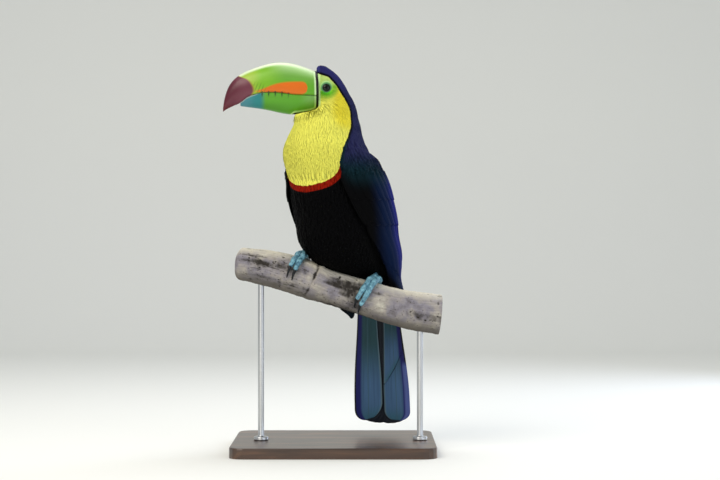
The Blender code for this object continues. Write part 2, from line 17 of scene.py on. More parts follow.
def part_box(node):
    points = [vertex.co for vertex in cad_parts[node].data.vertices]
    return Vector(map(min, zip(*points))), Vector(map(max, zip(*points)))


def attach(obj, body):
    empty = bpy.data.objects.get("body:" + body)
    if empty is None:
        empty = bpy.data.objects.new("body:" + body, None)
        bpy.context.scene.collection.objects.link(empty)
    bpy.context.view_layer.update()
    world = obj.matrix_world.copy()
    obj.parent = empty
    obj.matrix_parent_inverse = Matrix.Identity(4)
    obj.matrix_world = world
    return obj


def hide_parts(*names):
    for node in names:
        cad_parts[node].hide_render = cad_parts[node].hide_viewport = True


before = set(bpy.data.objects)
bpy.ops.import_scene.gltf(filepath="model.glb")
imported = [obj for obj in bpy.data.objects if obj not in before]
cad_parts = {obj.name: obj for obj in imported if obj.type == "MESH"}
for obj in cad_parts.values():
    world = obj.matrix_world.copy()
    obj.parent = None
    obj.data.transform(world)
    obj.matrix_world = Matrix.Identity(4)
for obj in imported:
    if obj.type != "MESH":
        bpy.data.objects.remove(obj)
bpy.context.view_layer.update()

# %% [markdown]
# ## Measures
#
# The bird and its branch are laid out in millimetres round the branch's own axis, as the solids are. The
# camera sees the bird's left. A yaw of 0 faces the camera and a yaw of 90 faces -X. Nearly every form is a
# loft, with quads through rings of points as planks run over a boat's ribs. Skin or Screw modifiers could do
# it, but a table keeps each section in hand.

# %% Measures
MM = 0.001
PERCH_OVER_BASE = np.array((0.0, -13.0, 6.0))


def in_frame(points):
    """Places laid out round the branch, in millimetres, as places in the frame, in metres."""
    return (np.asarray(points, float) + PERCH_OVER_BASE) * MM


def laid_out(points):
    """The other way round."""
    return np.asarray(points, float) / MM - PERCH_OVER_BASE


def soft(value, start, end):
    """0 at start, 1 at end, with an easy slope between them."""
    share = np.clip((np.asarray(value, float) - start) / (end - start), 0.0, 1.0)
    return share * share * (3 - 2 * share)


def one_shape(*values):
    """Numbers and arrays as arrays of one shape."""
    return np.broadcast_arrays(*(np.asarray(value, float) for value in values))


def smooth_table(rows, steps=12):
    """Rows of numbers on a Catmull-Rom curve through the given rows, in order of their first number."""
    rows = np.array(list(rows), float)
    padded = np.vstack((rows[:1], rows, rows[-1:]))
    made = []
    for before, start, end, after in zip(padded, padded[1:], padded[2:], padded[3:]):
        for t in np.arange(steps) / steps:
            made.append(0.5 * (2 * start + (end - before) * t
                               + (2 * before - 5 * start + 4 * end - after) * t * t
                               + (3 * start - before - 3 * end + after) * t ** 3))
    made = np.array(made + [rows[-1]])
    return made[np.argsort(made[:, 0])]


def read_table(table, key):
    """The other columns of a table at each key, as one array a column."""
    return [np.interp(key, table[:, 0], column) for column in table.T[1:]]


def facing(yaw):
    """(forward, left) on the level, for yaws in degrees."""
    turn = np.radians(yaw)
    flat = np.zeros_like(turn)
    forward = np.stack((-np.sin(turn), -np.cos(turn), flat), axis=-1)
    left = np.stack((np.cos(turn), -np.sin(turn), flat), axis=-1)
    return forward, left


def full_turn(count):
    """Angles evenly spaced round a full turn."""
    return np.linspace(0, 2 * np.pi, count, endpoint=False)


def unit(vectors):
    """The same directions, with length one."""
    return vectors / np.maximum(np.linalg.norm(vectors, axis=-1, keepdims=True), 1e-9)


# %% Meshes from rings
def show(name, data):
    """Puts a mesh, a lamp or a camera in the scene as one object at the origin."""
    made = bpy.data.objects.new(name, data)
    bpy.context.scene.collection.objects.link(made)
    return made


def skin_through(rings, around=True, ends=True):
    """(points, faces): quads through rings of points, with a fan over each end."""
    rings = np.asarray(rings, float)
    count, across = rings.shape[:2]
    index = np.arange(count * across).reshape(count, across)
    following = np.roll(index, -1, axis=1)
    quads = np.stack((index[:-1], following[:-1], following[1:], index[1:]), axis=-1)
    faces = (quads if around else quads[:, :-1]).reshape(-1, 4).tolist()
    points = rings.reshape(-1, 3).tolist()
    if ends:
        for ring, loop in ((rings[0], index[0]), (rings[-1], index[-1])):
            loop = loop.tolist()
            points.append(ring.mean(axis=0).tolist())
            faces += [(a, b, len(points) - 1) for a, b in zip(loop, loop[1:] + loop[:1])]
    return points, faces


def new_mesh(name, points, faces):
    """A smooth mesh from places in the frame."""
    mesh = bpy.data.meshes.new(name)
    mesh.from_pydata(points, [], faces)
    mesh.shade_smooth()
    return mesh


def turn_faces_out(mesh, merge_within=None):
    """Merges doubled points where asked, and turns the faces of closed shells to point outwards."""
    shell = bmesh.new()
    shell.from_mesh(mesh)
    if merge_within:
        bmesh.ops.remove_doubles(shell, verts=shell.verts, dist=merge_within)
    bmesh.ops.recalc_face_normals(shell, faces=shell.faces)
    shell.to_mesh(mesh)
    shell.free()


def piece(name, shapes):
    """One object from several closed (points, faces), all laid out in millimetres."""
    points, faces = [], []
    for some_points, some_faces in shapes:
        base = len(points)
        points += some_points
        faces += [[base + corner for corner in face] for face in some_faces]
    mesh = new_mesh(name, in_frame(points).tolist(), faces)
    turn_faces_out(mesh)
    return show(name, mesh)


def read(layer, key, width, kind=np.float32):
    """A layer of a mesh as an array, this many numbers a row."""
    values = np.empty(len(layer) * width, kind)
    layer.foreach_get(key, values)
    return values.reshape(-1, width)


def points_of(mesh):
    """The mesh's points, laid out in millimetres."""
    return laid_out(read(mesh.vertices, "co", 3))


def corners_of(mesh):
    """The number of the point at each face corner."""
    return read(mesh.loops, "vertex_index", 1, np.int32)[:, 0]


def keep_numbers(mesh, **columns):
    """Writes one number, or one vector, a point as named attributes, for materials and node trees."""
    for name, values in columns.items():
        values = np.asarray(values, np.float32)
        kind, slot = ("FLOAT", "value") if values.ndim == 1 else ("FLOAT_VECTOR", "vector")
        old = mesh.attributes.get(name)
        if old:
            mesh.attributes.remove(old)
        mesh.attributes.new(name, kind, "POINT").data.foreach_set(slot, values.ravel())


# %% [markdown]
# ## Colour and nodes
#
# Colours are written as sRGB hex, as on a paint chart, and one function turns them linear. One more adds a
# node of any kind with its settings and links, for materials and node trees alike. A third lays a colour over
# another wherever an attribute passes from one number to another, so that the skin and every feather agree.

# %% Colour and nodes
def linear(hex_colour):
    """A colour written as sRGB hex, as linear light."""
    parts = [int(hex_colour[start:start + 2], 16) / 255 for start in (1, 3, 5)]
    return [p / 12.92 if p <= 0.04045 else ((p + 0.055) / 1.055) ** 2.4 for p in parts] + [1.0]


def add(tree, kind, inputs=None, stops=(), **settings):
    """Adds one node. An input is a value, or the output that feeds it. A ramp's stops are (place, hex)."""
    made = tree.nodes.new(kind)
    for number, (position, colour) in enumerate(stops):
        elements = made.color_ramp.elements
        stop = elements[number] if number < 2 else elements.new(position)
        stop.position, stop.color = position, linear(colour)
    for name, value in settings.items():
        setattr(made, name, value)
    for key, value in (inputs or {}).items():
        if isinstance(value, bpy.types.NodeSocket):
            tree.links.new(value, made.inputs[key])
        else:
            made.inputs[key].default_value = value
    return made


def new_material(name, **finish):
    """A Principled material with the numbers that are the same all over it."""
    made = bpy.data.materials.new(name)
    made.use_nodes = True
    shader = made.node_tree.nodes["Principled BSDF"]
    for socket, value in finish.items():
        shader.inputs[socket.replace("_", " ")].default_value = value
    return made, made.node_tree, shader


def passed(tree, attribute, start, end):
    """How far an attribute has passed from start to end, with an easy slope."""
    number = add(tree, "ShaderNodeAttribute", attribute_name=attribute).outputs["Fac"]
    return add(tree, "ShaderNodeMapRange", {"Value": number, "From Min": start, "From Max": end},
               interpolation_type="SMOOTHSTEP").outputs[0]


def lay_colours(tree, colour, layers):
    """Lays colours over each other. A layer is (attribute, from, to, hex): clear at from, full at to."""
    for attribute, start, end, over in layers:
        share = passed(tree, attribute, start, end)
        mixed = add(tree, "ShaderNodeMix", {0: share, 6: colour, 7: linear(over)}, data_type="RGBA")
        colour = mixed.outputs[2]
    return colour


def vary(tree, colour, number, swing, middle):
    """Makes a colour darker and lighter: its value is middle and swing times the number."""
    value = add(tree, "ShaderNodeMath", {0: number, 1: swing, 2: middle}, operation="MULTIPLY_ADD")
    return add(tree, "ShaderNodeHueSaturation", {"Value": value.outputs[0], "Color": colour}).outputs["Color"]


def cover(tree, shader, colour, height, strength, depth):
    """Ends a material: its colour, and a height pressed into it as a relief this many metres deep."""
    relief = add(tree, "ShaderNodeBump", {"Height": height, "Strength": strength, "Distance": depth})
    tree.links.new(colour, shader.inputs["Base Color"])
    tree.links.new(relief.outputs["Normal"], shader.inputs["Normal"])


print("mid grey #808080 is", round(linear("#808080")[0], 3), "in linear light")

# %% [markdown]
# ## The body's form
#
# A bird's body is a smooth sack with one long axis, so a row of level sections describes it: where the axis
# stands, which way the section faces, and how far it reaches to the side, to the breast and to the back. Two
# more tables give the folded wing: the sections that it hangs on, and how far round them it spreads.

# %% The body's form
HEAD_YAW = 84.0
BODY_YAW = 37.0
TAIL_YAW = 24.0
# height, x and y of the axis, yaw, half width, reach to the breast, reach to the back
BODY_SECTIONS = {
    "crown_top": (434.4, -14.6, -22.0, HEAD_YAW, 1.2, 1.2, 1.2),
    "crown_cap": (434.0, -14.2, -22.0, HEAD_YAW, 4.8, 4.6, 4.4),
    "crown": (432.2, -13.4, -22.0, HEAD_YAW, 8.8, 8.4, 7.0),
    "forehead": (428.0, -11.8, -22.0, HEAD_YAW, 13.2, 12.0, 11.4),
    "brow": (423.0, -9.5, -22.0, HEAD_YAW, 16.2, 20.0, 14.8),
    "above_eye": (417.6, -7.2, -22.0, HEAD_YAW, 18.4, 29.0, 16.8),
    "eye": (411.0, -5.0, -22.0, HEAD_YAW, 20.4, 35.0, 18.8),
    "ear": (403.0, -3.4, -22.0, HEAD_YAW, 22.2, 40.0, 21.4),
    "cheek": (394.6, -3.6, -22.0, HEAD_YAW, 23.8, 42.5, 26.4),
    "jaw": (386.0, -6.0, -22.0, HEAD_YAW, 26.0, 43.5, 32.2),
    "throat": (377.0, -8.0, -21.4, 80.0, 29.0, 38.2, 36.6),
    "upper_neck": (368.0, -8.0, -20.6, 75.0, 33.0, 39.2, 39.6),
    "neck": (356.0, -9.0, -18.8, 67.0, 39.0, 44.4, 43.8),
    "bib": (343.0, -8.8, -16.2, 56.0, 45.6, 51.0, 48.6),
    "bib_swell": (331.0, -6.2, -12.8, 47.0, 49.6, 56.2, 51.6),
    "upper_breast": (318.0, -2.8, -8.2, 41.0, 51.2, 58.0, 52.8),
    "breast": (303.0, 2.4, 0.2, 38.0, 52.0, 60.0, 52.8),
    "back": (281.0, 6.8, 6.8, BODY_YAW, 53.4, 62.6, 53.6),
    "belly": (258.0, 11.4, 13.4, BODY_YAW, 53.2, 65.0, 53.4),
    "flank": (240.0, 15.0, 18.8, BODY_YAW, 51.6, 68.0, 51.6),
    "lower_belly": (224.0, 20.0, 25.0, BODY_YAW, 47.4, 67.0, 48.0),
    "vent": (207.0, 27.6, 34.0, BODY_YAW, 41.0, 58.0, 41.0),
    "rump": (193.0, 36.0, 43.8, 36.0, 34.6, 35.0, 33.0),
    "tail_head": (178.0, 43.0, 52.6, 33.0, 30.0, 19.0, 23.0),
    "tail_root": (160.0, 48.6, 59.4, 28.0, 27.0, 12.0, 14.0),
}
WING_SECTIONS = {name: row for name, row in BODY_SECTIONS.items() if 240.0 <= row[0] <= 356.0} | {
    "secondaries": (222.0, 21.0, 25.6, BODY_YAW, 49.6, 56.0, 49.2),
    "tertials": (206.0, 27.4, 33.2, BODY_YAW, 45.0, 46.0, 42.0),
    "primaries": (190.0, 34.2, 41.4, BODY_YAW, 39.4, 32.0, 34.0),
    "primary_ends": (170.0, 41.0, 50.0, BODY_YAW, 41.0, 26.0, 31.0),
    "wing_tip": (142.0, 46.0, 57.4, BODY_YAW, 45.0, 20.0, 28.0),
}
# height, angle from the breast of the wing's leading edge and of its trailing edge, greatest thickness
WING_SPREAD = {
    "shoulder_top": (343.9, 88.0, 114.0, 1.2),
    "shoulder": (337.0, 77.0, 133.0, 3.2),
    "bend": (328.0, 66.0, 148.0, 5.4),
    "coverts": (306.0, 53.0, 160.0, 6.8),
    "mid_wing": (276.0, 58.0, 166.0, 7.0),
    "secondaries": (246.0, 70.0, 168.0, 7.0),
    "tertial_ends": (218.0, 81.0, 164.0, 6.4),
    "primaries": (194.0, 86.0, 152.0, 5.2),
    "primary_ends": (170.0, 80.0, 136.0, 4.0),
    "last_ends": (155.0, 74.0, 128.0, 3.2),
    "tip": (142.0, 102.0, 119.0, 2.4),
}
WING_EDGE = 1.0
WING_GAP = 1.7
BODY = smooth_table(BODY_SECTIONS.values())
WING_FORM = smooth_table(WING_SECTIONS.values())
SPREAD = smooth_table(WING_SPREAD.values())
SIDES = {"left": 1, "right": -1}


def on_form(form, heights, angles, outward=0.0):
    """Places on a form, at angles from the breast towards the bird's left, outward from its surface."""
    heights, angles, outward = one_shape(heights, angles, outward)
    x, y, yaw, half_width, front, back = read_table(form, heights)
    forward, left = facing(yaw)
    across = np.sin(angles) * np.maximum(half_width + outward, 0.3)
    depth = np.where(np.cos(angles) > 0, front, back)
    along = np.cos(angles) * np.maximum(depth + outward, 0.3)
    axis = np.stack((x, y, heights), axis=-1)
    return axis + left * across[..., None] + forward * along[..., None]


def on_wing(heights, shares, sign, outward=0.0):
    """Places on the wing's outer face. Share 0 is its leading edge and share 1 its trailing edge."""
    heights, shares, outward = one_shape(heights, shares, outward)
    lead, trail, thickness = read_table(SPREAD, heights)
    swell = np.sin(np.pi * np.clip(shares, 0.0, 1.0)) ** 0.6
    rise = WING_GAP + WING_EDGE + (thickness - WING_EDGE) * swell + outward
    return on_form(WING_FORM, heights, sign * np.radians(lead + (trail - lead) * shares), rise)


def find_on_body(points):
    """(height, angle, millimetres outward) of places laid out in millimetres, against the body's own form."""
    heights = points[:, 2]
    x, y, yaw, half_width, front, back = read_table(BODY, heights)
    forward, left = facing(yaw)
    from_axis = points - np.stack((x, y, heights), axis=-1)
    across = (from_axis * left).sum(axis=1)
    along = (from_axis * forward).sum(axis=1)
    depth = np.where(along > 0, front, back)
    angle = np.arctan2(across / half_width, along / depth)
    reach = np.hypot(across / half_width, along / depth)
    radius = np.hypot(np.sin(angle) * half_width, np.cos(angle) * depth)
    return heights, angle, (reach - 1) * radius


head_box = np.array(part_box("head"))
print("the crown is", round((head_box[1][2] - in_frame((0, 0, BODY[-1][0]))[2]) / MM, 2),
      "mm off the top of the head's solid")

# %% [markdown]
# ## The bill's form and the eyes' places
#
# The bill is an arch. For each distance out from the face a row gives its ridge, its cutting edge, its lower
# rim and its half width, and an oval goes through them. The eyes' centres are read from the solids' boxes,
# and each eye looks straight out to its side.

# %% The bill's form and the eyes' places
BILL_BASE = (-18.6, -22.0)
# distance out, height of the ridge, of the cutting edge, of the lower rim, half width
BILL_SECTIONS = {
    "root": (0.0, 427.0, 399.0, 386.4, 18.4),
    "behind_nostril": (6.0, 429.6, 399.3, 382.6, 18.4),
    "rise": (18.0, 433.7, 399.9, 380.0, 17.9),
    "arch": (30.0, 436.6, 400.6, 378.8, 17.2),
    "summit": (42.5, 437.5, 402.3, 380.5, 16.2),
    "middle": (54.0, 436.1, 402.8, 383.0, 15.0),
    "fall": (66.0, 432.6, 402.0, 385.0, 13.4),
    "before_tip": (78.0, 428.2, 398.4, 386.5, 11.4),
    "hook_start": (86.0, 424.2, 392.8, 387.6, 9.8),
    "hook": (92.0, 420.2, 389.2, 388.8, 8.2),
    "hook_bend": (98.0, 413.8, 386.6, 386.2, 6.2),
    "hook_end": (102.4, 405.6, 384.4, 384.0, 4.4),
    "before_point": (105.4, 395.4, 382.4, 382.0, 2.8),
    "tip": (106.9, 385.4, 381.2, 380.9, 1.2),
}
LOWER_BILL_ENDS = 87.2
LOWER_BILL_NARROWER = 0.6
BILL_RIM = 0.7
BILL_RIM_WIDTH = 2.4
BILL_LEAN = -0.03
BILL_LEAN_FADES = 40.0
BILL = smooth_table(BILL_SECTIONS.values())
HEAD_FORWARD, HEAD_LEFT = facing(HEAD_YAW)


def on_bill(out, across, height):
    """Places of the bill, from distances out from its root, across to the bird's left, and heights."""
    out, across, height = one_shape(out, across, height)
    lean = BILL_LEAN * np.clip(1.0 - out / BILL_LEAN_FADES, 0.0, 1.0)
    out = out - lean * (height - BILL_SECTIONS["root"][2])
    base = np.stack(one_shape(*BILL_BASE, height), axis=-1)
    return base + HEAD_FORWARD * out[..., None] + HEAD_LEFT * across[..., None]


def find_on_bill(points):
    """(distance out, distance across) of places laid out in millimetres, the root's lean left aside."""
    from_base = points - np.array((*BILL_BASE, 0.0))
    return from_base @ HEAD_FORWARD, from_base @ HEAD_LEFT


def bill_oval(out):
    """(middle height, half height, cutting edge, lower rim, half width) of the closed bill."""
    ridge, edge, rim, half_width = read_table(BILL, out)
    return (ridge + rim) / 2, (ridge - rim) / 2, edge, rim, half_width


EYES = {}
for side in SIDES:
    low, high = (laid_out(corner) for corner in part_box("eye_" + side))
    EYES[side] = ((low + high) / 2, (high - low)[2] / 2)
EYE_RADIUS = EYES["left"][1]


def off_eye(points, side, on_far_side):
    """How far points are from an eye's line of sight, with an extra distance on its far side."""
    away = points - EYES[side][0]
    beyond = away @ HEAD_LEFT * SIDES[side] < 0
    return np.linalg.norm(np.cross(away, HEAD_LEFT), axis=1) + on_far_side * beyond


print("eyes of", round(EYE_RADIUS, 2), "mm radius,",
      round(float(np.linalg.norm(EYES["left"][0] - EYES["right"][0])), 1), "mm apart at their centres")

# %% [markdown]
# ## The stage
#
# A plain pale floor turns up into a wall. The lamps are broad and soft, as in a studio: a key from high on
# the left, a wide fill from the right, two more above and low in front, and a long strip behind that draws a
# light line down the black back. The camera stands far off, as with a long lens.

# %% The stage
CAMERA_AT = (0.0299, -1.968, 0.2423)
CAMERA_LENS = 85.0
LAMPS_AIM_AT = Vector((0.0, 0.0, 0.28))
SWEEP_FRONT, SWEEP_BACK, SWEEP_TOP, SWEEP_HALF_WIDTH = -2.6, 2.2, 3.2, 3.4
SWEEP_RADIUS = 0.55

sweep = [(SWEEP_FRONT, 0.0)] + [
    (SWEEP_BACK - SWEEP_RADIUS + SWEEP_RADIUS * math.sin(turn), SWEEP_RADIUS * (1 - math.cos(turn)))
    for turn in np.radians(range(0, 91, 6))
] + [(SWEEP_BACK, SWEEP_TOP)]
points, faces = skin_through([[(x, y, z) for x in (-SWEEP_HALF_WIDTH, SWEEP_HALF_WIDTH)] for y, z in sweep],
                             around=False, ends=False)
floor = show("studio_floor", new_mesh("studio_floor", points, faces))
# rolled paper: chalky, with no gleam, so that it only shows the bird's soft shadow
paper, tree, shader = new_material("matt_studio_paper", Roughness=0.95)
shader.inputs["Base Color"].default_value = linear("#f1f1ec")
floor.data.materials.append(paper)

camera = show("camera", bpy.data.cameras.new("camera"))
camera.data.lens = CAMERA_LENS
camera.data.sensor_width = 36.0
camera.data.clip_end = 20.0
camera.location = CAMERA_AT
camera.rotation_euler = (math.pi / 2, 0.0, 0.0)
bpy.context.scene.camera = camera

# place, width and height, watts, colour
LAMPS = {
    "key": ((-0.75, -1.05, 1.35), (0.9, 0.9), 14.5, "#fff6e8"),
    "fill": ((1.3, -1.2, 0.6), (1.4, 1.2), 6.5, "#eaf1ff"),
    "top": ((0.1, 0.35, 1.5), (1.2, 0.8), 9.5, "#ffffff"),
    "back_strip": ((0.95, 0.75, 0.5), (0.35, 1.3), 5.5, "#dbe6ff"),
    "low_front": ((-0.5, -1.5, 0.12), (1.2, 0.4), 2.6, "#fff8ee"),
}
for name, (place, (width, height), watts, colour) in LAMPS.items():
    lamp = bpy.data.lights.new(name, "AREA")
    lamp.shape = "RECTANGLE"
    lamp.size, lamp.size_y = width, height
    lamp.energy = watts
    lamp.color = linear(colour)[:3]
    stand = show(name, lamp)
    stand.location = place
    stand.rotation_euler = (LAMPS_AIM_AT - Vector(place)).to_track_quat("-Z", "Y").to_euler()

world = bpy.data.worlds.new("studio")
world.use_nodes = True
backdrop = world.node_tree.nodes["Background"].inputs
backdrop["Color"].default_value, backdrop["Strength"].default_value = linear("#e9eef2"), 0.55
bpy.context.scene.world = world
bpy.context.scene.view_settings.view_transform = "Standard"
print("camera and", len(LAMPS), "lamps set")

# %% [markdown]
# ## The markings
#
# The toucan's bib is a lemon-yellow shield from the face down to the breast, green round the eye, with a
# narrow red band under it. The body is black, the rump is white and the feathers under the tail are red.
# Crown and nape are painted dusky violet and the folded wings painted navy and teal, with a vivid navy rim
# light on
# their back edge: painted sheen where light glances off black feathers. A table says how far round the neck
# the bib reaches, and every point of skin and feather keeps its distance from that edge. A distance gives a
# crisp edge in the material even on a coarse mesh, which colours painted on the points would not.

# %% The markings
# height, and how far the bib reaches from the breast to either side, in degrees
BIB_REACH = smooth_table([
    (297.0, 1.0), (299.6, 20.0), (305.0, 37.0), (315.5, 53.0), (326.0, 62.0), (340.5, 81.0), (352.5, 103.0),
    (364.0, 120.0), (377.5, 132.0), (386.5, 132.0), (395.5, 123.0), (404.0, 114.0), (410.5, 108.0),
    (416.5, 98.0), (420.5, 88.0), (424.5, 51.0), (427.0, 1.0),
], steps=40)
BAND_WIDTH = 7.4
FAR_OUTSIDE = 20.0
LORES_FROM = np.array((-3.6, -22.0, 0.0))

bib_edge = np.concatenate([
    on_form(BODY, BIB_REACH[:, 0], sign * np.radians(BIB_REACH[:, 1]), -1.0) for sign in SIDES.values()])


def distance_to_edge(points, edge):
    """How far each point is from the nearest point of a curve, in millimetres."""
    edge = edge.astype(np.float32)
    found = []
    for start in range(0, len(points), 4000):
        some = points[start:start + 4000].astype(np.float32)
        square = ((some[:, None, :] - edge[None, :, :]) ** 2).sum(axis=2)
        found.append(np.sqrt(square.min(axis=1)))
    return np.concatenate(found)


def mark(mesh, reach_of_rump=2.0):
    """Writes the markings' numbers on skin or feathers. The white rump ends this far off the body."""
    points = points_of(mesh)
    height, angle, outward = find_on_body(points)
    turned = np.degrees(np.abs(angle))
    reach = np.interp(height, BIB_REACH[:, 0], BIB_REACH[:, 1], left=0.0, right=0.0)
    inside = np.where(turned < reach, 1.0, -1.0) * distance_to_edge(points, bib_edge)
    on_wings = soft(outward, 0.5, 1.0) * soft(height, 344.0, 343.0)
    inside = inside * (1 - on_wings) - FAR_OUTSIDE * on_wings
    eye_distance = np.min([np.linalg.norm(points - centre, axis=1) for centre, _ in EYES.values()], axis=0)
    ahead = (points - LORES_FROM) @ HEAD_FORWARD
    # where the painted sheen and rim light may go: on the wings, away from the back beside the rump
    painted_sheen_reach = (1 - soft(turned, 126.0, 140.0) * soft(height, 236.0, 196.0)) * soft(outward, 0.4, 1.2)
    out, _ = find_on_bill(points)
    keep_numbers(
        mesh,
        bib=inside,
        band=inside + BAND_WIDTH * soft(height, 321.0, 306.0),
        lores=np.maximum(1 - soft(eye_distance, 9.0, 19.0),
                         soft(ahead, 1.0, 8.0) * soft(height, 386.0, 404.0)),
        under_eye=(1 - soft(eye_distance, 7.5, 13.0)) * soft(height, 407.0, 400.0),
        brow=soft(height, 407.0, 416.0),
        ear=soft(turned, 78.0, 112.0) * soft(height, 352.0, 372.0),
        by_bill=soft(out, -2.2, -0.9) * soft(height, 384.0, 390.0),
        # painted sheen: violet on the black nape and crown, where light glances off their gloss
        nape=soft(height, 306.0, 346.0) * soft(inside, -1.2, -5.0),
        crown=soft(height, 392.0, 418.0) * soft(inside, -1.2, -5.0),
        # painted sheen: navy on the folded black wings
        sheen=painted_sheen_reach * soft(turned, 70.0, 96.0) * soft(height, 352.0, 326.0) * soft(height, 156.0, 176.0),
        # painted rim light: a vivid navy band along the back edge of each folded wing
        wing_edge=painted_sheen_reach * soft(turned, 90.0, 122.0) * soft(turned, 150.0, 130.0)
        * soft(height, 324.0, 286.0) * soft(height, 166.0, 186.0),
        # painted sheen: teal on the black shoulder
        shoulder=soft(turned, 44.0, 66.0) * soft(turned, 124.0, 96.0) * soft(height, 356.0, 340.0)
        * soft(height, 284.0, 324.0),
        rump=soft(turned, 118.0, 136.0) * soft(height, 214.0, 200.0)
        * soft(outward, reach_of_rump + 1.0, reach_of_rump),
        vent=soft(turned, 84.0, 66.0) * soft(height, 186.0, 181.0) * soft(height, 156.0, 162.0)
        * soft(outward, 1.6, 0.6),
        under_tail=soft(height, 156.0, 144.0),
    )


print("markings: bib edge of", len(bib_edge), "points, band", BAND_WIDTH, "mm wide")

# %% [markdown]
# ## The finish of skin and feathers
#
# Feather is keratin in fine barbs that scatter light, so it looks matt and deep. The dark markings are laid
# first, with the painted sheen and rim light on the black feathers, then the yellow and green face goes
# inside the bib's edge, then come rump and vent. Barbs slant off each shaft in relief.

# %% The finish of skin and feathers
BARBS_ON_A_VANE = 16  # a real vane has hundreds, too fine to show, so they are drawn about 0.5 mm apart
MOTTLE = 60.0  # soft clouds about 17 mm across, the size of a tuft that has turned a little


def plumage(name, roughness, gleam):
    """The one finish of skin and feathers, matt because light scatters in the barbs."""
    made, tree, shader = new_material(name, Roughness=roughness, Specular_IOR_Level=gleam)
    markings_and_painted_sheen = lay_colours(tree, linear("#020203"), [
        ("under_tail", 0.0, 1.0, "#131d26"),
        # painted sheen: navy on the wings, where light glances off black feathers
        ("sheen", 0.0, 1.0, "#041636"),
        # painted rim light: vivid navy along the wing's back edge
        ("wing_edge", 0.0, 1.0, "#070c6a"),
        # painted sheen: teal on the shoulder
        ("shoulder", 0.0, 1.0, "#0c252c"),
        # painted sheen: violet on the black nape and crown
        ("nape", 0.0, 1.0, "#22244a"),
        ("crown", 0.0, 1.0, "#2c2c66"),
        ("band", -0.5, 0.5, "#861605"),
        ("bib", -0.45, 0.45, "#e8e560"),
    ])
    face = lay_colours(tree, linear("#e8e560"), [
        ("ear", 0.0, 1.0, "#e9da3c"),
        ("lores", 0.05, 0.95, "#86bd38"),
        ("brow", 0.0, 1.0, "#c3dd7c"),
        ("under_eye", 0.0, 0.9, "#4fae22"),
        ("by_bill", 0.0, 1.0, "#b9dc9a"),
    ])
    in_bib = passed(tree, "bib", -0.4, 0.4)
    both = add(tree, "ShaderNodeMix", {0: in_bib, 6: markings_and_painted_sheen, 7: face}, data_type="RGBA")
    tail_end = lay_colours(tree, both.outputs[2], [
        ("rump", 0.2, 0.8, "#eeeadb"),
        ("vent", 0.2, 0.8, "#9c1d0b"),
    ])
    tone = add(tree, "ShaderNodeAttribute", attribute_name="tone")
    place = add(tree, "ShaderNodeTexCoord").outputs["Object"]
    mottle = add(tree, "ShaderNodeTexNoise", {"Vector": place, "Scale": MOTTLE, "Detail": 3.0})
    lighter = add(tree, "ShaderNodeMath", {0: mottle.outputs["Fac"], 1: 0.16, 2: 0.92},
                  operation="MULTIPLY_ADD")
    varied = vary(tree, tail_end, tone.outputs["Fac"], 0.09, lighter.outputs[0])
    vane = add(tree, "ShaderNodeUVMap", uv_map="vane")
    parts = add(tree, "ShaderNodeSeparateXYZ", {0: vane.outputs["UV"]})
    from_shaft = add(tree, "ShaderNodeMath", {0: parts.outputs["X"], 1: 0.5}, operation="SUBTRACT")
    aside = add(tree, "ShaderNodeMath", {0: from_shaft.outputs[0]}, operation="ABSOLUTE")
    slant = add(tree, "ShaderNodeMath", {0: aside.outputs[0], 1: -0.9, 2: parts.outputs["Y"]},
                operation="MULTIPLY_ADD")
    barbs = add(tree, "ShaderNodeMath", {0: slant.outputs[0], 1: 2 * math.pi * BARBS_ON_A_VANE},
                operation="MULTIPLY")
    ridge = add(tree, "ShaderNodeMath", {0: barbs.outputs[0]}, operation="SINE")
    cover(tree, shader, varied, ridge.outputs[0], 0.35, 0.00012)
    return made


soft_plumage = plumage("soft_contour_feather", 0.75, 0.05)
flight_plumage = plumage("sleek_flight_feather", 0.62, 0.04)
print("made", soft_plumage.name, "and", flight_plumage.name)

# %% [markdown]
# ## The skin
#
# One skin lies under all the feathers, a coat's depth inside the bird's outline. It is lofted through the
# body's sections, with the folded wings' flesh and the tail's root overlapping it. Sculpting could give the
# same, but lofts follow the tables.

# %% The forms under the plumage
SKIN_STEP = 2.2
WING_FLESH_ENDS = 214.0
WING_COAT = 1.9
WING_ROOT_SUNK = -6.0
CHIN_SHELF = 0.1
AROUND_BILL = 16.0
TAIL_FROM_TRUNK = 161.0
TAIL_ROOT_AT = (52.6, 63.0, 160.0)
TAIL_ROOT_WIDTH = 19.0
TAIL_TIP_HEIGHT = 18.6
TAIL_DRIFT = 3.6
TAIL_PAIRS = 5
TAIL_LAYER = 0.45
TAIL_COVERTS_END = 154.0
TAIL_DEPTH = TAIL_LAYER * (2 * TAIL_PAIRS - 1) + 1.3


def coat_depth(height):
    """Feathers are shortest on the face and longest on the body."""
    return 0.9 + 1.5 * soft(height, 402.0, 330.0)


def on_tail(across, back, height):
    """Places of the tail: across it to the bird's left, back from its underside, and a height."""
    across, back, height = one_shape(across, back, height)
    forward, left = facing(TAIL_YAW)
    x, y, top = TAIL_ROOT_AT
    drift = TAIL_DRIFT * (top - height) / (top - TAIL_TIP_HEIGHT)
    middle = np.stack(one_shape(x + drift, y, height), axis=-1)
    return middle + left * across[..., None] - forward * back[..., None]


def body_rings():
    """Level sections from the crown down, close together on the dome of the head."""
    top, dome_ends = BODY_SECTIONS["crown_top"][0], BODY_SECTIONS["forehead"][0]
    dome = top - 6.0 * (1 - np.cos(np.pi / 2 * np.arange(8) / 8))
    heights = np.concatenate((dome, np.arange(dome_ends, 157.0, -SKIN_STEP)))
    turns = full_turn(96)
    return on_form(BODY, heights[:, None], turns[None, :], -coat_depth(heights)[:, None])


def settled_edge(height, share):
    """The wing's shoulder and leading edge settle into the body's feathers by this much."""
    return 3.6 * soft(height, 314.0, 342.0) + 1.9 * soft(share, 0.22, 0.0) * soft(height, 286.0, 306.0)


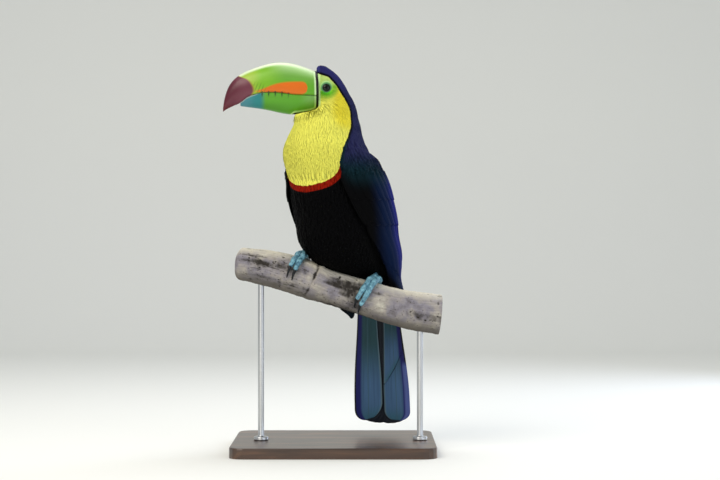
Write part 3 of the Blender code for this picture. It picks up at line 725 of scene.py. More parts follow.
def wing_flesh_rings(sign):
    """Sections of a folded wing under its feathers, closed inside the body."""
    heights = np.arange(342.0, WING_FLESH_ENDS, -SKIN_STEP)
    shares = np.linspace(0.02, 0.98, 22)
    sunk = WING_COAT + settled_edge(heights[:, None], shares[None, :])
    outer = on_wing(heights[:, None], shares[None, :], sign, -sunk)
    lead, trail, _ = read_table(SPREAD, heights)
    turns = sign * np.radians(lead[:, None] + (trail - lead)[:, None] * shares[None, ::-1])
    inner = on_form(BODY, heights[:, None], turns, WING_ROOT_SUNK)
    return np.concatenate((outer, inner), axis=1)


def tail_root_rings():
    """Sections that turn from the rump's oval into the flat root of the tail."""
    rings = []
    x, y, yaw, half_width, front, back = read_table(BODY, TAIL_FROM_TRUNK)
    for height in np.arange(TAIL_FROM_TRUNK + 4.0, TAIL_COVERTS_END - 2, -2.4):
        share = np.clip((TAIL_FROM_TRUNK - height) / (TAIL_FROM_TRUNK - TAIL_COVERTS_END), 0.0, 1.0)
        slim = math.cos(math.pi / 2 * share) ** 0.8
        middle = on_tail(0.0, TAIL_DEPTH / 2, height) * (1 - slim) + np.array((x, y, height)) * slim
        width = TAIL_ROOT_WIDTH + (half_width - TAIL_ROOT_WIDTH) * slim - 2.0
        depth = TAIL_DEPTH / 2 + 0.4
        forward, left = facing(TAIL_YAW + (yaw - TAIL_YAW) * slim)
        ring = []
        for turn in full_turn(48):
            reach = depth + ((front if math.cos(turn) > 0 else back) - 2.0 - depth) * slim
            ring.append(middle + left * width * math.sin(turn) + forward * reach * math.cos(turn))
        rings.append(ring)
    return rings


def bill_room():
    """What is cleared before the face: all that stands above the bill's lower rim."""
    rings = []
    for out in (-0.2, 2.0, 4.0, 6.5, 9.0, 13.0, 18.0, 24.0, 31.0, 40.0, 60.0):
        middle, half_height, _, rim, half_width = bill_oval(out)
        wide, low, high = half_width + AROUND_BILL, rim - CHIN_SHELF, middle + half_height + AROUND_BILL
        rings.append(on_bill(out, (wide, wide, -wide, -wide), (low, high, high, low)))
    return rings


flesh_shapes = [skin_through(wing_flesh_rings(sign)) for sign in SIDES.values()]
flesh_shapes.append(skin_through(tail_root_rings()))
body_shape = skin_through(body_rings())
print("body of", len(body_shape[1]), "faces, and", len(flesh_shapes), "forms that overlap it")

# %% [markdown]
# ## One skin from the forms
#
# A Boolean makes room for the bill. Overlapping shells show a seam where they cross, so a voxel remesh melts
# them into one closed surface, and smoothing takes off its steps. Where it would enter the branch it is
# pushed back.

# %% One skin from the forms
SKIN_VOXEL = 1.5
BRANCH_CLEARANCE = 0.6
BELLY_OVER_BRANCH = 232.0
# x, y and height of the branch's axis, and its radius
PERCH = smooth_table([
    (-114.0, 4.0, 210.0, 19.2), (-78.0, 2.0, 204.6, 20.4), (-40.0, 0.0, 194.4, 21.4),
    (-4.0, -1.0, 181.2, 20.0), (40.0, 0.0, 167.8, 21.2), (80.0, 2.0, 157.6, 21.4), (122.0, 6.0, 150.0, 23.6),
])


def evaluated(obj):
    """The object with its modifiers, as a plain mesh."""
    bpy.context.view_layer.update()
    graph = bpy.context.evaluated_depsgraph_get()
    return bpy.data.meshes.new_from_object(
        obj.evaluated_get(graph), preserve_all_data_layers=True, depsgraph=graph)


def settle(obj):
    """Replaces the object's mesh by its evaluated one, and removes its modifiers."""
    mesh = evaluated(obj)
    obj.modifiers.clear()
    obj.data = mesh
    mesh.name = obj.name


def melt_together(obj, voxel, rounds):
    """Melts the shells of an object into one closed surface, and evens it."""
    remesh = obj.modifiers.new("one surface", "REMESH")
    remesh.mode, remesh.voxel_size, remesh.use_smooth_shade = "VOXEL", voxel * MM, True
    evening = obj.modifiers.new("even it", "SMOOTH")
    evening.factor, evening.iterations = 0.5, rounds
    settle(obj)


def gather(mesh, *others):
    """Adds other meshes to a mesh as they are."""
    together = bmesh.new()
    for some in (mesh, *others):
        together.from_mesh(some)
    together.to_mesh(mesh)
    together.free()


body_skin = piece("body_skin", [body_shape])
room = piece("room_for_bill", [skin_through(bill_room())])
cut = body_skin.modifiers.new("room for the bill", "BOOLEAN")
cut.object, cut.operation, cut.solver = room, "DIFFERENCE", "EXACT"
settle(body_skin)
bpy.data.objects.remove(room)

flesh = piece("flesh", flesh_shapes)
gather(body_skin.data, flesh.data)
bpy.data.objects.remove(flesh)
melt_together(body_skin, SKIN_VOXEL, 5)


def clear_of_branch(points, clearance):
    """Moves the points that lie in the branch straight out to its surface and a little further."""
    axis = PERCH[:, :3]
    from_axis = points[:, None, :] - axis[None, :, :]
    nearest = np.argmin((from_axis ** 2).sum(axis=2), axis=1)
    away = points - axis[nearest]
    distance = np.linalg.norm(away, axis=1)
    wanted = PERCH[nearest, 3] + clearance
    inside = (distance < wanted) & (points[:, 2] < BELLY_OVER_BRANCH)
    further = wanted / np.maximum(distance, 1e-6)
    points[inside] = axis[nearest[inside]] + away[inside] * further[inside, None]
    return points


skin_points = clear_of_branch(points_of(body_skin.data), BRANCH_CLEARANCE)
body_skin.data.vertices.foreach_set("co", in_frame(skin_points).astype(np.float32).ravel())
body_skin.data.update()
print("skin of", len(body_skin.data.polygons), "faces")

# %% [markdown]
# ## How the coat lies
#
# Feathers point away from the bill: back over the crown and the cheeks, then down the neck and the body.
# Every point of the skin keeps that direction, the size of the feathers there, and its share in each of four
# fields of feathers. Nothing grows on the bare ring round the eye, under the bill's root, against the branch,
# at the tail root's end, or where long wing feathers cover the skin.

# %% How the coat lies
EYE_RING = 7.4
FAR_SIDE = 99.0


def lie_of(points, normals):
    """The way that the feathers point, along the skin."""
    height = points[:, 2]
    backward = (soft(height, 366.0, 412.0) * 0.97)[:, None]
    wanted = backward * -HEAD_FORWARD + (1 - backward) * np.array((0.0, 0.0, -1.0))
    return unit(wanted - normals * (wanted * normals).sum(axis=1)[:, None])


def plan_coat(mesh):
    """Writes on the skin where each field of the coat grows, how it lies and how large its feathers are."""
    points = points_of(mesh)
    normals = read(mesh.vertex_normals, "vector", 3)
    height, angle, outward = find_on_body(points)
    out, across = find_on_bill(points)
    _, _, _, rim, half_width = bill_oval(np.clip(out, 0.0, None))
    under_bill = (out > -1.0) & (np.abs(across) < half_width - 0.5) & (height > rim + 0.6)
    by_eye = np.min([off_eye(points, side, FAR_SIDE) for side in SIDES], axis=0)
    axis = PERCH[:, :3]
    to_branch = np.sqrt(((points[:, None, :] - axis[None, ::3, :]) ** 2).sum(axis=2).min(axis=1))
    on_shelf = (normals[:, 2] > 0.35) & (height < 386.0) & (height > 366.0) & (out > 1.0) & (
        np.abs(across) < half_width + 0.5)
    against_branch = (to_branch < 23.0) & (height < 215.0) & (points[:, 1] < 20.0)
    cut_end = (height < 166.0) & (normals[:, 2] < -0.4)
    bare = under_bill | on_shelf | (by_eye < EYE_RING - 0.6) | against_branch | cut_end
    free = 1.0 - bare.astype(float)
    wing = soft(outward, 0.4, 1.4) * soft(height, 348.0, 342.0)
    on_nape = soft(height, 352.0, 340.0) * soft(np.abs(angle), 1.4, 2.0)
    keep_numbers(
        mesh,
        lie=lie_of(points, normals),
        face=free * soft(height, 386.0, 394.0),
        throat=free * soft(height, 398.0, 388.0) * soft(height, 300.0, 308.0) * (1 - wing),
        trunk=free * (1 - wing) * (soft(height, 160.0, 165.0) * soft(height, 318.0, 308.0) + on_nape),
        coverts=free * wing * soft(height, 286.0, 300.0),
        feather_scale=0.62 + 0.38 * soft(height, 410.0, 386.0),
        tone=np.full(len(points), 0.5),
    )


plan_coat(body_skin.data)
print("planned four fields of feathers on", len(body_skin.data.vertices), "points of skin")

# %% [markdown]
# ## The tree that lays feathers
#
# A taxidermist combs a coat and does not set it feather by feather. Geometry Nodes scatter points over a
# field of the skin and put a feather on each, turned to the lie of the coat and tilted a little. A particle
# system could do it too, but a tree keeps each root's place for the map. The seeds are fixed.

# %% The tree that lays feathers
def new_tree(name, takes, gives):
    """(tree, its inputs): an empty node tree with named sockets."""
    tree = bpy.data.node_groups.new(name, "GeometryNodeTree")
    for socket, kind in takes.items():
        tree.interface.new_socket(socket, in_out="INPUT", socket_type="NodeSocket" + kind)
    tree.interface.new_socket(gives, in_out="OUTPUT", socket_type="NodeSocketGeometry")
    return tree, add(tree, "NodeGroupInput").outputs


def lay_patterns(tree, given, points, pattern, rotation, scale):
    """Ends a tree: a pattern on each point, turned and scaled, made real, and given its finish."""
    pattern = add(tree, "GeometryNodeObjectInfo", {"Object": pattern})
    laid = add(tree, "GeometryNodeInstanceOnPoints", {
        "Points": points, "Instance": pattern.outputs["Geometry"], "Rotation": rotation, "Scale": scale})
    real = add(tree, "GeometryNodeRealizeInstances", {0: laid.outputs[0]})
    finished = add(tree, "GeometryNodeSetMaterial", {
        "Geometry": real.outputs[0], "Material": given["Finish"]})
    add(tree, "NodeGroupOutput", {0: finished.outputs[0]})
    return tree


def use_tree(obj, tree, values):
    """Puts a tree on an object. A modifier's input goes by its socket's identifier, not by its name."""
    modifier = obj.modifiers.new(tree.name, "NODES")
    modifier.node_group = tree
    for socket in tree.interface.items_tree:
        if socket.name in values:
            modifier[socket.identifier] = values[socket.name]
    return modifier


def laying_tree():
    """Scatters feathers over a skin, each turned to the lie of the coat and tilted a little off it."""
    tree, given = new_tree("lay feathers on a skin", {
        "Skin": "Geometry", "Field": "String", "Spacing": "Float", "Feather": "Object", "Tilt": "Float",
        "Untidiness": "Float", "Seed": "Int", "Finish": "Material"}, "Coat")
    field = add(tree, "GeometryNodeInputNamedAttribute", {"Name": given["Field"]}, data_type="FLOAT")
    spots = add(tree, "GeometryNodeDistributePointsOnFaces", {
        "Mesh": given["Skin"], "Distance Min": given["Spacing"], "Density Max": 4.0e6,
        "Density Factor": field.outputs["Attribute"], "Seed": given["Seed"]}, distribute_method="POISSON")
    place = add(tree, "GeometryNodeInputPosition")
    rooted = add(tree, "GeometryNodeStoreNamedAttribute", {
        "Geometry": spots.outputs["Points"], "Name": "root", "Value": place.outputs[0]},
        data_type="FLOAT_VECTOR", domain="POINT")
    chance = add(tree, "FunctionNodeRandomValue", {2: 0.0, 3: 1.0, "Seed": 3}, data_type="FLOAT")
    toned = add(tree, "GeometryNodeStoreNamedAttribute", {
        "Geometry": rooted.outputs[0], "Name": "tone", "Value": chance.outputs[1]},
        data_type="FLOAT", domain="POINT")
    lie = add(tree, "GeometryNodeInputNamedAttribute", {"Name": "lie"}, data_type="FLOAT_VECTOR")
    straight = add(tree, "FunctionNodeAxesToRotation", {
        "Primary Axis": spots.outputs["Normal"], "Secondary Axis": lie.outputs["Attribute"]},
        primary_axis="Z", secondary_axis="Y")
    wobble = add(tree, "FunctionNodeRandomValue", {0: (-0.35, -0.5, -1.0), 1: (0.35, 0.5, 1.0), "Seed": 5},
                 data_type="FLOAT_VECTOR")
    loose = add(tree, "ShaderNodeVectorMath", {0: wobble.outputs[0], "Scale": given["Untidiness"]},
                operation="SCALE")
    tilt = add(tree, "ShaderNodeCombineXYZ", {"X": given["Tilt"]})
    turn = add(tree, "ShaderNodeVectorMath", {0: loose.outputs[0], 1: tilt.outputs[0]}, operation="ADD")
    turned = add(tree, "FunctionNodeEulerToRotation", {"Euler": turn.outputs[0]})
    lifted = add(tree, "FunctionNodeRotateRotation", {
        "Rotation": straight.outputs[0], "Rotate By": turned.outputs[0]}, rotation_space="LOCAL")
    size = add(tree, "GeometryNodeInputNamedAttribute", {"Name": "feather_scale"}, data_type="FLOAT")
    spread = add(tree, "FunctionNodeRandomValue", {2: 0.86, 3: 1.14, "Seed": 7}, data_type="FLOAT")
    scale = add(tree, "ShaderNodeMath", {0: size.outputs["Attribute"], 1: spread.outputs[1]},
                operation="MULTIPLY")
    return lay_patterns(tree, given, toned.outputs[0], given["Feather"], lifted.outputs[0], scale.outputs[0])


LAYING = laying_tree()
print("the laying tree has", len(LAYING.nodes), "nodes")

# %% [markdown]
# ## One feather, many times
#
# A small body feather is a shallow boat of barbs, round-ended and arched so that its tip turns back to the
# body, with its shaft as a low keel. The pattern is a closed sliver of thirty-two triangles, because it is
# repeated thousands of times. Each laid feather gets a small patch on an unrolled map of the body, at its
# root's place, so that a baked picture of the coat keeps its colours apart.

# %% One feather, many times
BAKE_PATCH = 0.003
BAKE_MARGIN = 0.02
BAKE_FROM, BAKE_SPAN = 10.0, 430.0  # heights that the map takes in
# place along the vane, and its width there as a share of the greatest
FEATHER_STATIONS = ((0.0, 0.34), (0.22, 0.8), (0.5, 1.0), (0.78, 0.86), (0.94, 0.5), (1.0, 0.12))


def feather_pattern(name, length, width, bow, keel):
    """A vane along +Y from its root at the origin, facing +Z, in millimetres."""
    points, faces, across_along = [], [], []
    for along, share in FEATHER_STATIONS:
        half = width / 2 * share
        rise = bow * math.sin(math.pi * 0.86 * along)
        for across, lift in ((-half, -keel), (0.0, keel * 0.6), (half, -keel)):
            points.append((across * MM, along * length * MM, (rise + lift * share) * MM))
            across_along.append((0.5 + across / width, along))
    for row in range(len(FEATHER_STATIONS) - 1):
        a, b = row * 3, row * 3 + 3
        faces += [(a, a + 1, b + 1, b), (a + 1, a + 2, b + 2, b + 1), (a + 2, a, b, b + 2)]
    last = len(points) - 3
    faces += [(0, 2, 1), (last, last + 1, last + 2)]
    mesh = new_mesh(name, points, faces)
    vane = mesh.uv_layers.new(name="vane")
    for loop in mesh.loops:
        vane.data[loop.index].uv = across_along[loop.vertex_index]
    return show(name, mesh)


def unrolled(roots):
    """Each root's place on the body unrolled from the middle of its back, between 0 and 1."""
    height, angle, _ = find_on_body(roots)
    shares = np.stack((angle / (2 * np.pi) + 0.5, (height - BAKE_FROM) / BAKE_SPAN), axis=-1)
    return BAKE_MARGIN + (1 - 2 * BAKE_MARGIN) * shares


def map_patches(mesh, roots, vane):
    """Writes the map named OFBake: a small patch for each feather, at its root's place."""
    places = np.clip(unrolled(roots)[corners_of(mesh)] + (vane - 0.5) * BAKE_PATCH, 0, 1)
    mesh.uv_layers.new(name="OFBake").data.foreach_set("uv", places.astype(np.float32).ravel())


def lay(name, field, pattern, spacing, tilt, untidiness, seed, finish):
    """One field of the coat as a plain mesh object."""
    laying = use_tree(body_skin, LAYING, {
        "Field": field, "Spacing": spacing * MM, "Feather": pattern, "Tilt": tilt,
        "Untidiness": untidiness, "Seed": seed, "Finish": finish})
    mesh = evaluated(body_skin)
    body_skin.modifiers.remove(laying)
    roots = laid_out(read(mesh.attributes["root"].data, "vector", 3))
    map_patches(mesh, roots, read(mesh.uv_layers["vane"].data, "uv", 2))
    for spent in ("root", "lie", "feather_scale", "face", "throat", "trunk", "coverts"):
        if spent in mesh.attributes:
            mesh.attributes.remove(mesh.attributes[spent])
    mesh.name = name
    mark(mesh)
    mesh.calc_loop_triangles()
    feathers = len(mesh.vertices) // (3 * len(FEATHER_STATIONS))
    print(name, "holds", feathers, "feathers,", len(mesh.loop_triangles), "triangles")
    return show(name, mesh)


# field, the feather's length, width, bow and keel, then spacing, tilt, untidiness, seed and finish
COATS = {
    "face_coat": ("face", (4.4, 1.7, 0.18, 0.05), 1.1, 0.07, 0.08, 11, soft_plumage),
    "throat_coat": ("throat", (7.2, 2.7, 0.22, 0.05), 1.5, 0.025, 0.045, 12, soft_plumage),
    "trunk_coat": ("trunk", (11.0, 4.6, 0.55, 0.12), 2.4, 0.075, 0.08, 13, soft_plumage),
    "wing_coverts_coat": ("coverts", (10.0, 5.8, 0.5, 0.16), 2.9, 0.075, 0.05, 14, flight_plumage),
}
mark(body_skin.data)
body_skin.data.materials.clear()
body_skin.data.materials.append(soft_plumage)
coat = []
for name, (field, sizes, *habits) in COATS.items():
    pattern = feather_pattern(field + "_feather", *sizes)
    coat.append(lay(name, field, pattern, *habits))
    bpy.data.objects.remove(pattern)

# %% [markdown]
# ## The long feathers of wing and tail
#
# Flight feathers are stiff blades with a strong shaft, and they lie on each other like roof slates. Each is a
# closed sheet swept along its own line. A profile gives its half width from quill to round tip, and the two
# vanes slope down a little from the shaft. They are few and each has its own place, so a plain loop suits
# them better than scattering does.

# %% A long feather
VANE_SHEET = 0.34
SHAFT_RISE = 0.28
SHAFT_WIDTH = 0.16
VANE_SLOPE = 0.35


def vane_width(along, round_tip, quill=0.42, full_at=0.35):
    """Half width from root to tip as a share of its greatest: narrow at the quill, full, then rounded off."""
    rise = quill + (1 - quill) * soft(along, 0.0, full_at)
    end = np.clip((along - (1 - round_tip)) / round_tip, 0.0, 1.0)
    return rise * np.sqrt(np.maximum(1 - end ** 2, 0.0))


def long_feather(surface, half_width, along_count=26, across_count=9, shaft_at=0.0, **outline):
    """(points, faces, vane places) of one closed blade. surface(along, aside, lift) gives a place on its bed:
    along from 0 to 1, aside in millimetres to its left, and a lift off it."""
    along = 1 - (1 - np.cos(np.linspace(0, np.pi / 2, along_count)))[::-1] * 0.999
    along[0] = 0.0
    aside = np.linspace(-1, 1, across_count)
    width = np.maximum(half_width * vane_width(along, **outline), half_width * 0.03)
    from_shaft = np.abs(aside - shaft_at) / (1 + abs(shaft_at))
    keel = SHAFT_RISE * np.exp(-(from_shaft / SHAFT_WIDTH) ** 2) - VANE_SLOPE * from_shaft ** 2
    thin = 1 - 0.5 * from_shaft
    top = surface(along[:, None], aside[None, :] * width[:, None], VANE_SHEET * thin[None, :] + keel[None, :])
    under = surface(along[:, None], aside[None, ::-1] * width[:, None], keel[None, ::-1])
    rings = np.concatenate((top, under), axis=1)
    points, faces = skin_through(rings)
    across = np.concatenate((aside, aside[::-1])) * 0.5 + 0.5
    places = np.stack(np.broadcast_arrays(across[None, :], along[:, None]), axis=-1).reshape(-1, 2)
    places = np.vstack((places, (0.5, 0.0), (0.5, 1.0)))
    return points, faces, places


def blades(name, feathers, finish, tones, **marking):
    """One object from several long feathers, with their vane map and their patches."""
    made = piece(name, [(points, faces) for points, faces, _ in feathers])
    mesh = made.data
    roots = np.vstack([
        np.repeat([np.mean(points[:8], axis=0)], len(points), axis=0) for points, _, _ in feathers])
    vane = np.vstack([places for _, _, places in feathers])[corners_of(mesh)]
    mesh.uv_layers.new(name="vane").data.foreach_set("uv", vane.astype(np.float32).ravel())
    map_patches(mesh, roots, vane)
    tone = np.concatenate([np.full(len(points), number) for (points, _, _), number in zip(feathers, tones)])
    keep_numbers(mesh, tone=tone)
    mark(mesh, **marking)
    mesh.materials.append(finish)
    print(name, "holds", len(feathers), "feathers,", len(mesh.polygons), "faces")
    return made


# %% [markdown]
# ## The folded wings
#
# The toucan's wing is short and round. Folded, it shows the tips of the primaries furthest down, the
# secondaries over them, four broad tertials nearest the back, and two rows of coverts over all their roots. A
# table gives each set its count, where its feathers start and end on the wing, and how high it is stacked.

# %% The folded wings
# count, height and share where they start (first and last), where they end (first and last), half width, lift
WING_SETS = {
    "primary": (8, (236.0, 0.04), (240.0, 0.46), (156.5, 0.06), (141.5, 0.80), 5.4, -1.9),
    "secondary": (8, (268.0, 0.08), (268.0, 0.78), (206.0, 0.06), (177.0, 0.80), 7.6, -1.35),
    "tertial": (4, (276.0, 0.62), (276.0, 0.94), (212.0, 0.60), (196.0, 0.90), 9.0, -0.75),
    "greater_covert": (12, (296.0, 0.02), (298.0, 0.97), (252.0, 0.03), (254.0, 0.96), 5.8, -0.45),
    "median_covert": (13, (314.0, 0.01), (316.0, 0.97), (280.0, 0.02), (284.0, 0.96), 5.2, 0.0),
}


def wing_bed(sign, start, end, lift):
    """The bed of one wing feather: a line down the wing, and places to either side of it round the wing."""
    def bed(along, aside, off):
        height = start[0] + (end[0] - start[0]) * along
        share = start[1] + (end[1] - start[1]) * along
        lead, trail, _ = read_table(SPREAD, height)
        _, _, _, half_width, _, back = read_table(WING_FORM, height)
        around = np.radians(trail - lead) * (half_width + back) / 2
        settled = lift + 0.5 * soft(along, 0.0, 0.8) - settled_edge(height, share)
        return on_wing(height, share + aside / around, sign, settled + off)
    return bed


wings = []
for side, sign in SIDES.items():
    feathers, tones = [], []
    for name, (count, first, last, first_end, last_end, half_width, lift) in WING_SETS.items():
        for number in range(count):
            share = number / (count - 1)
            start = [a + (b - a) * share for a, b in zip(first, last)]
            end = [a + (b - a) * share for a, b in zip(first_end, last_end)]
            bed = wing_bed(sign, start, end, lift + 0.30 * share)
            feathers.append(long_feather(bed, half_width, round_tip=0.16, shaft_at=-0.25 * sign))
            tones.append(0.35 + 0.3 * math.sin(number * 2.4 + count))
    wings.append(blades("wing_feathers_" + side, feathers, flight_plumage, tones, reach_of_rump=-9.0))

# %% [markdown]
# ## The tail
#
# Ten blades in five pairs, the outermost lowest, with round ends. Each has a bed that gives its line down the
# tail and its slope. The outermost feather on the bird's left is a new one, still short, and slants at its
# end.

# %% The tail's beds
TAIL_SPREAD = 20.4
TAIL_STEP = 1.8
TAIL_WIDTH = 31.0
# right and left half: how far apart the feathers rise, where the lowest one rises, and how much broader it is
TAIL_HALVES = {-1: (14.5, 16.0, 6.0), 1: (11.0, 14.0, 2.6)}
TAIL_FEATHERS_FROM = 160.0
SHORT_FEATHER_END = 84.0
SHORT_FEATHER_SLANT = 1.5
SHORT_FEATHER_TAPER = 0.22
OUTER_SLANT = 0.3
SLANT_FROM = 0.45  # as a share of the feather's length
TAIL_TIPS_FROM = 6.0


def tail_bed(share, sign, back, short):
    """The bed of one tail feather. share is 0 for the middle pair and 1 for the outermost."""
    spread, lowest_root, broader = TAIL_HALVES[sign]
    root = sign * (lowest_root if share == 1.0 else spread * share)
    tip = sign * (TAIL_TIPS_FROM + (TAIL_SPREAD - TAIL_TIPS_FROM) * share - broader / 2 * (share == 1.0))
    top, end = TAIL_FEATHERS_FROM, TAIL_TIP_HEIGHT + TAIL_STEP * share ** 2 * (TAIL_PAIRS - 1) / 2
    slant = OUTER_SLANT * (share == 1.0 and sign < 0)
    if short:
        end, slant = SHORT_FEATHER_END, SHORT_FEATHER_SLANT

    def bed(along, aside, off):
        height = top + (end - top) * along
        down = (top - height) / (top - TAIL_TIP_HEIGHT)
        line = root + (tip - root) * (1 - (1 - down) ** 1.6)
        towards_tip = soft(along, SLANT_FROM, 1.0)
        slanted = height + slant * aside * towards_tip
        if short:
            aside = aside * (1 - SHORT_FEATHER_TAPER * towards_tip * (aside > 0))
        return on_tail(line + aside, back - off, slanted)
    return bed


print("the tail hangs", round(TAIL_FEATHERS_FROM - TAIL_TIP_HEIGHT, 1), "mm")

# %% [markdown]
# ## The tail's finish
#
# Tail feathers are harder than body feathers, so they gleam a little. From below they are slate, bluer
# towards the tip, with a navy outer border, a pale inner rim and a dark edge. Each blade's own map carries
# streaks along the vane and slanting barbs. The hidden layers stay dark.

# %% The tail's finish
TAIL_BARBS = 150  # on a feather 140 mm long, so they are drawn about 0.9 mm apart, coarser than real ones
STREAKS_ACROSS, STREAKS_ALONG = 22.0, 2.2

# stiff vanes, closely hooked: slate with a soft gleam
tail_vanes, tree, shader = new_material("slate_tail_feather", Roughness=0.55, Specular_IOR_Level=0.25)
slate = lay_colours(tree, linear("#20444c"), [
    ("along", 0.30, 0.72, "#38587a"),
    ("along", 0.86, 1.0, "#2c566a"),
    ("shaft", 0.018, 0.008, "#355362"),
    ("deep", 0.0, 1.0, "#0a1420"),
    ("outward", 0.20, 0.31, "#0c0f56"),
    ("outward", 0.42, 0.46, "#06070f"),
    ("outward", -0.40, -0.46, "#4d6672"),
    ("outward", -0.470, -0.485, "#070a12"),
    ("along", 0.985, 0.996, "#0a0f1e"),
    ("outer_edge", 0.25, 0.9, "#46548e"),
])
vane = add(tree, "ShaderNodeUVMap", uv_map="vane")
streaks = add(tree, "ShaderNodeMapping", {
    "Vector": vane.outputs["UV"], "Scale": (STREAKS_ACROSS, STREAKS_ALONG, 1.0)})
streak = add(tree, "ShaderNodeTexNoise", {"Vector": streaks.outputs[0], "Scale": 1.0, "Detail": 4.0})
varied = vary(tree, slate, streak.outputs["Fac"], 0.9, 0.55)
aside = add(tree, "ShaderNodeAttribute", attribute_name="shaft")
down = add(tree, "ShaderNodeAttribute", attribute_name="along")
slant = add(tree, "ShaderNodeMath", {0: aside.outputs["Fac"], 1: -0.3, 2: down.outputs["Fac"]},
            operation="MULTIPLY_ADD")
barbs = add(tree, "ShaderNodeMath", {0: slant.outputs[0], 1: 2 * math.pi * TAIL_BARBS}, operation="MULTIPLY")
ridge = add(tree, "ShaderNodeMath", {0: barbs.outputs[0]}, operation="SINE")
cover(tree, shader, varied, ridge.outputs[0], 0.3, 0.00012)
print("made", tail_vanes.name)

# %% The tail's ten blades
# laid pair by pair from the lowest up, left before right; only the lowest three show their full width
LOWEST_LAYERS = 3
feathers, outward, edges, deep = [], [], [], []
order = [(pair, sign) for pair in reversed(range(TAIL_PAIRS)) for sign in (1, -1)]
for layer, (pair, sign) in enumerate(order):
    short = pair == TAIL_PAIRS - 1 and sign > 0
    share = min(pair / (TAIL_PAIRS - 2), 1.0) if sign > 0 else pair / (TAIL_PAIRS - 1)
    bed = tail_bed(share, sign, layer * TAIL_LAYER + 0.5, short)
    half_width = (TAIL_WIDTH + TAIL_HALVES[sign][2] * (share == 1.0)) / 2
    quill, full_at = (0.68 if sign < 0 else 0.6, 1.45 if short else 0.8) if share == 1.0 else (0.86, 0.35)
    feather = long_feather(bed, half_width, along_count=34, across_count=15, quill=quill, full_at=full_at,
                           round_tip=0.04 if short else 0.085 + 0.035 * (layer == 1))
    feathers.append(feather)
    across, along = feather[2].T
    lowest = layer < LOWEST_LAYERS
    inner_end, outer_end = (-0.5, 0.5) if lowest else (-0.39, 0.19)
    outward.append(np.clip(sign * (across - 0.5), inner_end, outer_end))
    beside_short = pair == TAIL_PAIRS - 2 and sign > 0
    edges.append(soft(outward[-1], 0.26, 0.34) * soft(along, 0.44, 0.56) * beside_short)
    deep.append(np.full(len(along), float(not lowest)))
tail = blades("tail_feathers", feathers, tail_vanes, [0.5] * len(feathers))
keep_numbers(
    tail.data,
    outer_edge=np.concatenate(edges),
    deep=np.concatenate(deep),
    outward=np.concatenate(outward),
    shaft=np.abs(np.concatenate(outward)),
    along=np.concatenate([places[:, 1] for _, _, places in feathers]),
)
coat += wings + [tail]

# %% [markdown]
# ## The bill
#
# A toucan's bill is a light foam of bone under a thin sheath of horn, smooth and satin like a fingernail. The
# upper half overhangs the lower, its cutting edge has blunt notches, and a raised black band closes it
# against the face. Each half is a loft of ovals. Every point keeps how far out it is and how far inside each
# painted shape: the orange blaze, the maroon tip, the blue front of the lower half.

# %% The bill
NOTCH_SPACING = 7.4
NOTCH_DEPTH = 0.7
NOTCHES_FROM, NOTCHES_TO = 33.8, 64.0
MOUTH_GAP = 0.35
INSIDE_POINTS = 8
NOT_PAINTED = -9.0
# distance out, height of the blaze's middle, half its height
BLAZE = smooth_table([
    (11.0, 407.6, -4.0), (12.4, 407.6, 0.0), (13.4, 407.6, 4.0), (16.0, 407.6, 6.2), (20.0, 407.4, 7.1),
    (35.0, 407.2, 6.8), (45.0, 406.7, 5.9), (52.0, 406.0, 4.6), (58.0, 405.2, 3.0), (64.0, 404.4, 1.5),
    (71.0, 403.6, 0.4), (76.0, 403.2, -2.0),
])
# height, and how far out the maroon tip begins there
TIP_FROM = smooth_table([
    (380.0, 88.0), (391.0, 84.0), (398.0, 77.4), (403.0, 74.2), (408.0, 74.4), (414.5, 78.2), (418.0, 82.6),
    (421.0, 90.0), (427.0, 99.0),
])


def notched(out):
    """1 at each notch of the cutting edge and 0 between them."""
    wave = np.maximum(np.cos(2 * np.pi * (out - NOTCHES_FROM) / NOTCH_SPACING), 0.0) ** 6
    return wave * soft(out, NOTCHES_FROM - 4, NOTCHES_FROM) * soft(out, NOTCHES_TO + 5, NOTCHES_TO)


def bill_rings(end, upper, count=110, points=44):
    """Ovals of one half of the bill, from inside the face to its tip, closed across the mouth."""
    first = BILL_RIM_WIDTH + 0.5
    rest = first + (end - first) * np.sin(np.pi / 2 * np.arange(1, count + 1) / count)
    stations = np.concatenate((np.linspace(-5.0, 0.0, 4), (0.25, 0.7, 1.2, 1.7, 2.2, 2.55), (first,), rest))
    rings = []
    for out in stations:
        middle, half_height, edge, _, half_width = bill_oval(max(out, 0.0))
        on_rim = min(max((out + 0.2) / (BILL_RIM_WIDTH + 0.5), 0.0), 1.0)
        swell = BILL_RIM * math.sin(math.pi * on_rim) ** 0.5
        if out < 0:
            swell = -0.5
        half_height += swell
        half_width += swell
        if upper:
            edge += NOTCH_DEPTH * notched(out)
        else:
            edge -= MOUTH_GAP
            half_width -= min(LOWER_BILL_NARROWER, half_width * 0.1)
        start = math.asin(min(max((edge - middle) / half_height, -0.98), 0.98))
        finish = math.pi - start if upper else -math.pi - start
        turn = np.linspace(start, finish, points)
        across = half_width * np.cos(turn)
        height = middle + half_height * np.sin(turn)
        inset = np.linspace(across[-1], across[0], INSIDE_POINTS + 2)[1:-1] * 0.92
        hollow = height[-1] + (1.3 if upper else -1.1) * min(1.0, half_width / 8)
        inside = np.full(INSIDE_POINTS, hollow)
        rings.append(on_bill(out, np.concatenate((across, inset)), np.concatenate((height, inside))))
    return rings


